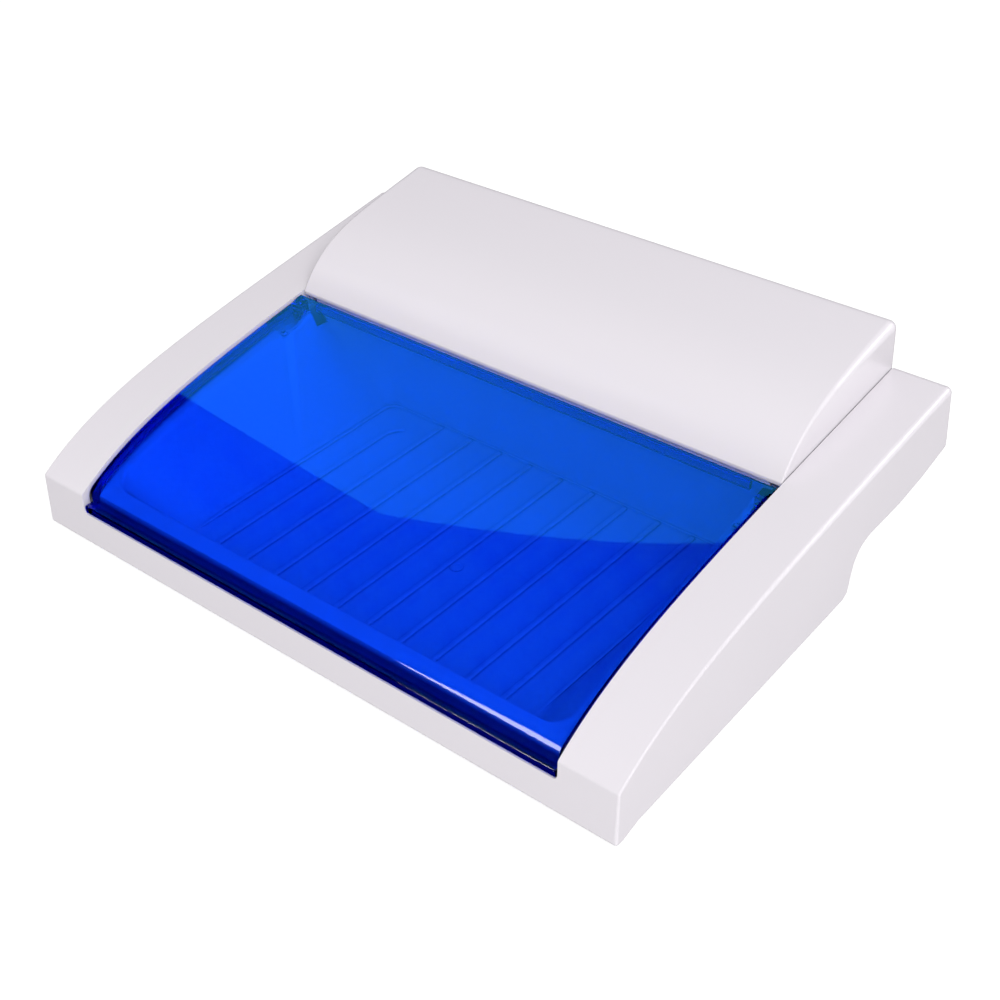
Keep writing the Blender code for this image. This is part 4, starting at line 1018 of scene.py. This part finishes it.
SCREWS = (                    # node, its shank's direction, head radius and height, shank length
    ("pan_screw_front_", "z", 0.0030, 0.0018, 0.013),
    ("pan_screw_rear_", "z", 0.0030, 0.0018, 0.013),
    ("holder_screw_", "z", 0.0026, 0.0014, 0.0072),
    ("ballast_screw_", "-z", 0.0028, 0.0015, 0.009),
    ("hood_screw_", "-y", 0.0030, 0.0012, 0.0075))

def screws():
    for side in ("left", "right"):
        for name, *shape in SCREWS:
            screw_head(name + side, *shape)

FEET = ("foot_front_left", "foot_front_right", "foot_rear_left", "foot_rear_right")

def foot(node):
    """Rubber foot: a dished sole with a fine ring, a shoulder and a stem through the pan."""
    centre, low, high = middle_of(node)
    tall = high.z - low.z
    profile = [(0.0, 0.0006), (0.0030, 0.0006), (0.0034, 0.0002), (0.0046, 0.0), (0.0058, 0.0),
               (0.0063, 0.0003), (0.0070, 0.0014), (0.0077, 0.0026), (0.0078, 0.0031), (0.0076, 0.0035),
               (0.0072, 0.0036), (0.0020, 0.0036), (0.0020, tall - 0.0003), (0.0017, tall), (0.0, tall)]
    piece = lathe(node + "_fine", profile, (centre.x, centre.y, low.z))
    fitting(piece, "black_rubber", RUBBER, node)


def rocker():
    """Rocker switch: bezel, button, and a pressed-in bar and ring on the button's two halves."""
    low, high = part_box("rocker_frame")
    pivot = next(Vector(j["pos_m"]) for j in frame["joints"] if j["name"] == "rocker_hinge")
    bezel = cuboid("rocker_bezel", (low.x, high.x), (high.y - 0.0016, high.y), (low.z, high.z))
    round_edges(bezel, 0.0006, 4)
    body = cuboid("rocker_case", about(pivot.x, 0.0094), (low.y, high.y - 0.0010),
                  about(pivot.z, 0.0064))
    well = cuboid("rocker_well", about(pivot.x, 0.0080), (pivot.y - 0.0055, high.y + 0.01),
                  about(pivot.z, 0.0050))
    join(bezel, body)
    cut(bezel, round_edges(well, 0.0006, 3))
    fitting(bezel, "black_plastic", BLACK, "rocker_frame")
    rocker_button(pivot)


def rocker_button(pivot):
    half, tall = 0.0073, 0.0046
    crown = [(half * (i / 8 - 1), 0.0019 + 0.0013 * abs(i / 8 - 1) ** 1.4) for i in range(17)]
    outline = crown + [(0.0070, 0.0002), (0.0030, -0.0033), (-0.0030, -0.0033), (-0.0070, 0.0002)]
    ends = ([(x, y, z) for x, y in outline] for z in (-tall, tall))
    button = round_edges(extrusion("rocker_button_fine", *ends), 0.0004)
    bar = cuboid("bar", (0.0036, 0.0041), (0.0018, 0.006), (-0.0016, 0.0016))
    ring = rod("ring_outer", 0.0016, (-0.0039, 0.0018, 0.0), (-0.0039, 0.006, 0.0))
    cut(ring, rod("ring_inner", 0.0011, (-0.0039, 0.001, 0.0), (-0.0039, 0.007, 0.0)))
    bar.location.y = ring.location.y = 0.0003
    cut(button, bar, ring)
    button.data.transform(Matrix.Translation(pivot) @ Matrix.Rotation(radians(8), 4, "Z"))
    finish_piece(button, "rocker", BLACK, ["rocker_button"], placed=True)


def gland():
    centre, low, high = middle_of("cord_gland")
    tall = high.y - low.y
    collar = [(0.0034, 0.0), (0.0048, 0.0), (0.0053, 0.0003), (0.0057, 0.0011), (0.0068, 0.0024),
              (0.0079, 0.0036), (0.0080, 0.0040), (0.0080, 0.0053), (0.0078, 0.0055),
              (0.0058, 0.0055)]
    profile = [(radius, tall - depth) for radius, depth in collar]
    profile += [(0.0058, 0.0), (0.0034, 0.0), (0.0034, tall)]
    piece = lathe("cord_gland_fine", profile, (centre.x, low.y, centre.z), "y")
    fitting(piece, "black_plastic", BLACK, "cord_gland")


def panel_skin():
    """Rear panel with softened slots."""
    low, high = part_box("rear_panel")
    face_y, outlet_z = low.y + 0.0025, SHELL_LOW.z + OUTLET_Z
    through = (low.y - 0.003, face_y + 0.003)
    panel = cuboid("rear_panel_fine", (low.x, high.x), (low.y, face_y), (low.z, high.z))
    cutters = []
    for i in range(VENT_COUNT):
        slot = cuboid("vent", about((i - (VENT_COUNT - 1) / 2) * VENT_PITCH, 0.0013), through,
                      (outlet_z - 0.008, outlet_z + 0.009))
        cutters.append(round_edges(slot, 0.00125, 4))
    gland_x, switch_x = (middle_of(node)[0].x for node in ("cord_gland", "rocker_frame"))
    cutters.append(cuboid("switch_hole", about(switch_x, 0.0098), through, about(outlet_z, 0.0068)))
    cutters.append(rod("gland_hole", 0.0061, *((gland_x, y, outlet_z) for y in through)))
    cut(panel, *cutters)
    round_some(panel, lambda m, n: abs(m.y - face_y) < 0.0001, 0.0003, 2)
    z = SHELL_LOW.z + HOOD_SCREW_Z
    for x in (-HOOD_SCREW_X, HOOD_SCREW_X):
        join(panel, rod("panel_boss", 0.0035, (x, face_y - 0.0005, z), (x, high.y, z)))
    fitting(panel, "white_moulding", WHITE, "rear_panel")

def pan_details():
    """Stiffening ribs and foot rings moulded on the underside of the pan."""
    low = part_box("bottom_pan")[0]

    def disc(name, radius, x, y, below, above):
        return rod(name, radius, (x, y, low.z - below), (x, y, low.z + above), 48)

    pieces = [cuboid("pan_rib", (-0.125, 0.125), about(low.y + y, 0.0012),
                     (low.z - 0.0007, low.z + 0.0004)) for y in (0.020, 0.060, 0.100)]
    for node in FEET:
        x, y, _ = middle_of(node)[0]
        pieces.append(cut(disc("foot_ring", 0.0112, x, y, 0.0008, 0.0004),
                          disc("foot_ring_hole", 0.0098, x, y, 0.002, 0.002)))
    for i, piece in enumerate(pieces):
        piece.name = f"pan_detail_{i}"
        round_edges(piece, 0.0003, 2)
        fitting(piece, "grey_pan", PAN)

# ---- lamp
def lamp_holders():
    for side, node in ((-1, "lamp_holder_left"), (1, "lamp_holder_right")):
        low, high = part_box(node)
        y, radius = (low.y + high.y) / 2, 0.0078
        top = high.z - radius
        outline = [(y - 0.0080, low.z), (y + 0.0080, low.z)] + arc((y, top), radius, 0, 180, 28)
        holder = round_edges(prism(node + "_fine", outline, (low.x, high.x)), 0.0007)
        inner = low.x if side > 0 else high.x
        cut(holder, rod("recess", 0.0050, (inner - side * 0.001, y, top),
                        (inner + side * 0.0073, y, top)))
        fitting(holder, "white_moulding", WHITE, node)

def lamp_filaments():
    """A coiled electrode on two support wires, and the glass stem press, at each end."""
    stem = [(0.0, 0.0), (0.0050, 0.0), (0.0050, 0.0012), (0.0026, 0.004), (0.0018, 0.009),
            (0.0, 0.0096)]
    low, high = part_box("lamp_tube")
    y, z = (low.y + high.y) / 2, (low.z + high.z) / 2
    for side, name in ((-1, "left"), (1, "right")):
        end = low.x if side < 0 else high.x
        x = end - side * 0.016
        press = lathe(f"stem_press_{name}", stem, (end, y, z), "-x" if side > 0 else "x", 24)
        fitting(press, "lamp_glass", GLASS)
        bm = bmesh.new()
        points = [Vector((end, y - 0.0022, z))]
        for i in range(61):
            coil = 0.0005 * Vector((cos(i * 1.3), 0.0, sin(i * 1.3)))
            points.append(Vector((x, y - 0.0022 + 0.0044 * i / 60, z)) + coil)
        points.append(Vector((end, y + 0.0022, z)))
        tube(bm, points, 0.00012, 6)
        fitting(mesh_object(f"electrode_{name}", bm), "steel", STEEL)

def tube(bm, points, radius, sides):
    """A round wire through the points."""
    rings = []
    for i, point in enumerate(points):
        along = direction(points, i)
        u = along.orthogonal().normalized()
        v = along.cross(u)
        rings.append([bm.verts.new(point + radius * (u * x + v * y))
                      for x, y in arc((0.0, 0.0), 1.0, 0, 360, sides)[:sides]])
    for ring, after in zip(rings, rings[1:]):
        offset = min(range(sides), key=lambda k: (ring[0].co - after[k].co).length)
        for j in range(sides):
            k = (j + 1) % sides
            bm.faces.new((ring[j], ring[k], after[(k + offset) % sides], after[(j + offset) % sides]))
    cap_ends(bm, rings)

# ---- carried-over CAD nodes
def dress(material, *names):
    for name in names:
        obj = frame["nodes"][name]
        obj.data.materials.clear()
        obj.data.materials.append(material)


def dress_nodes():
    dress(PAN, "bottom_pan")
    dress(STEEL, "hinge_pin_left", "hinge_pin_right", "ballast")
    dress(NYLON, "hinge_bush_left", "hinge_bush_right", "terminal_block")
    dress(ALUMINIUM, "lamp_cap_left", "lamp_cap_right", "lamp_reflector", "starter_can")
    dress(GLASS, "lamp_tube")
    dress(WHITE, "starter_socket")
    dress(WIRE_WHITE, "wire_lamp_left", "wire_lamp_right")
    dress(WIRE_BLACK, "wire_inlet", "wire_switch")


# ---- camera, light and floor
CAMERA_PLACE = Vector((0.4730, -0.5119, 0.5251))
CAMERA_AZIMUTH = 41.96        # degrees, turned from +y towards -x
CAMERA_ELEVATION = 35.89      # degrees, looking down
CAMERA_ROLL = -3.08
CAMERA_LENS = 59.36           # on a sensor 36 mm wide


def add_camera():
    azimuth, elevation, roll = (radians(a) for a in (CAMERA_AZIMUTH, CAMERA_ELEVATION, CAMERA_ROLL))
    ahead = Vector((-sin(azimuth) * cos(elevation), cos(azimuth) * cos(elevation), -sin(elevation)))
    right = Vector((cos(azimuth), sin(azimuth), 0.0))
    down = ahead.cross(right)
    tilted_right = right * cos(roll) - down * sin(roll)
    tilted_down = right * sin(roll) + down * cos(roll)
    turn = Matrix((tilted_right, -tilted_down, -ahead)).transposed()
    camera = bpy.data.objects.new("camera", bpy.data.cameras.new("camera"))
    camera.data.lens = CAMERA_LENS
    camera.data.sensor_width = 36.0
    camera.matrix_world = Matrix.Translation(CAMERA_PLACE) @ turn.to_4x4()
    bpy.context.scene.collection.objects.link(camera)
    bpy.context.scene.camera = camera


def add_panel(name, azimuth, distance, left, right, low, high, strength, colour=(1.0, 1.0, 1.0),
              on_lid=None, fill=False):
    """An upright soft panel facing the cabinet from that azimuth.

    left and right are its reach to either side of that line, and low and high its heights. It
    shows in reflections, or with fill it lights matt surfaces instead. on_lid True keeps it to
    the lid, and False keeps it off the lid.
    """
    angle = radians(azimuth)
    away = Vector((-sin(angle), cos(angle), 0.0))
    rightward = Vector((cos(angle), sin(angle), 0.0))
    centre = away * distance + rightward * ((right - left) / 2) + Vector((0, 0, (low + high) / 2))
    light = bpy.data.lights.new(name, "AREA")
    light.shape = "RECTANGLE"
    light.size = right + left
    light.size_y = high - low
    light.color = colour
    light.energy = strength * light.size * light.size_y * pi
    panel = bpy.data.objects.new(name, light)
    turn = Matrix((rightward, Vector((0, 0, 1)), away)).transposed()
    panel.matrix_world = Matrix.Translation(centre) @ turn.to_4x4()
    panel.visible_camera = False
    panel.visible_diffuse = fill
    panel.visible_glossy = not fill
    panel.visible_transmission = False
    bpy.context.scene.collection.objects.link(panel)
    if on_lid is not None:
        lit = bpy.data.collections.new(name + "_lit")
        lit.objects.link(bpy.data.objects["lid_skin"])
        if not on_lid:
            lit.collection_objects[0].light_linking.link_state = "EXCLUDE"
        panel.light_linking.receiver_collection = lit


SKY = 0.75                    # the world's strength; the camera sees it brighter
CAMERA_SKY_EXTRA = 0.35
LID_SKY_EXTRA = 12.0          # for what is lit through the lid, from the upper right
LID_SKY_FOCUS = 7.0

def add_world():
    """Even white light; what is lit through the lid gets it mostly from the upper right."""
    world = bpy.data.worlds.new("studio")
    world.use_nodes = True
    nodes, links = world.node_tree.nodes, world.node_tree.links

    def number(operation, value, other):
        node = nodes.new("ShaderNodeMath")
        node.operation = operation
        links.new(value, node.inputs[0])
        node.inputs[1].default_value = other
        return node.outputs["Value"]

    towards = nodes.new("ShaderNodeVectorMath")
    towards.operation = "DOT_PRODUCT"
    links.new(nodes.new("ShaderNodeTexCoord").outputs["Generated"], towards.inputs[0])
    towards.inputs[1].default_value = Vector((0.68, -0.26, 0.69)).normalized()
    lobe = number("POWER", number("MAXIMUM", towards.outputs["Value"], 0.0), LID_SKY_FOCUS)
    through_lid = number("ADD", number("MULTIPLY", lobe, LID_SKY_EXTRA), SKY)
    path = nodes.new("ShaderNodeLightPath")
    seen = number("ADD", number("MULTIPLY", path.outputs["Is Camera Ray"], CAMERA_SKY_EXTRA), SKY)
    mix = nodes.new("ShaderNodeMix")
    links.new(path.outputs["Is Transmission Ray"], mix.inputs["Factor"])
    links.new(seen, mix.inputs["A"])
    links.new(through_lid, mix.inputs["B"])
    background = nodes["Background"]
    background.inputs["Color"].default_value = (0.985, 0.985, 1.0, 1.0)
    links.new(mix.outputs["Result"], background.inputs["Strength"])
    world.cycles_visibility.glossy = False
    bpy.context.scene.world = world


def add_floor():
    """Pale paper sweep, lit through from below so that shadows stay faint."""
    bm = bmesh.new()
    bmesh.ops.create_circle(bm, cap_ends=True, segments=96, radius=9.0)
    floor = mesh_object("floor", bm)
    s = Shading("floor_paper", (0.20, 0.20, 0.20), 0.9)
    s.tint(s.spread(s.noise(3.0, 3.0), 0.0, 0.3), (0.19, 0.19, 0.19))
    s.bump(s.noise(700.0, 3.0), 0.1, 0.0001)
    s.shader.inputs["Emission Color"].default_value = (1.0, 1.0, 1.0, 1.0)
    s.shader.inputs["Emission Strength"].default_value = 0.86
    floor.data.materials.append(s.material)
    floor.visible_glossy = False


def add_lights():
    add_world()
    add_panel("key_softbox", -122.0, 2.4, 0.9, 0.9, 1.45, 2.95, strength=10.6, fill=True)
    add_panel("backdrop", 55.0, 4.0, 1.456, 3.2, 0.0, 5.52, strength=2.6,
              colour=(0.03, 0.46, 1.0), on_lid=True)
    add_panel("front_softbox", 160.0, 2.0, 0.38, 0.38, 0.40, 1.50, strength=13.0, on_lid=True)
    add_panel("hood_softbox", 128.0, 2.0, 0.45, 0.45, 1.40, 2.40, strength=1.0, on_lid=False)
    add_panel("edge_softbox", -44.0, 2.2, 0.45, 0.45, 1.05, 2.0, strength=6.0, on_lid=False)

def set_colours():
    view = bpy.context.scene.view_settings
    view.view_transform = "Standard"
    view.look = "None"


# ---- build
add_camera()
add_floor()
set_colours()
shell_skin()
hood_skin()
lid_skin()
add_lights()
tray_skin()
screws()
for foot_node in FEET:
    foot(foot_node)
rocker()
gland()
panel_skin()
pan_details()
lamp_holders()
lamp_filaments()
dress_nodes()
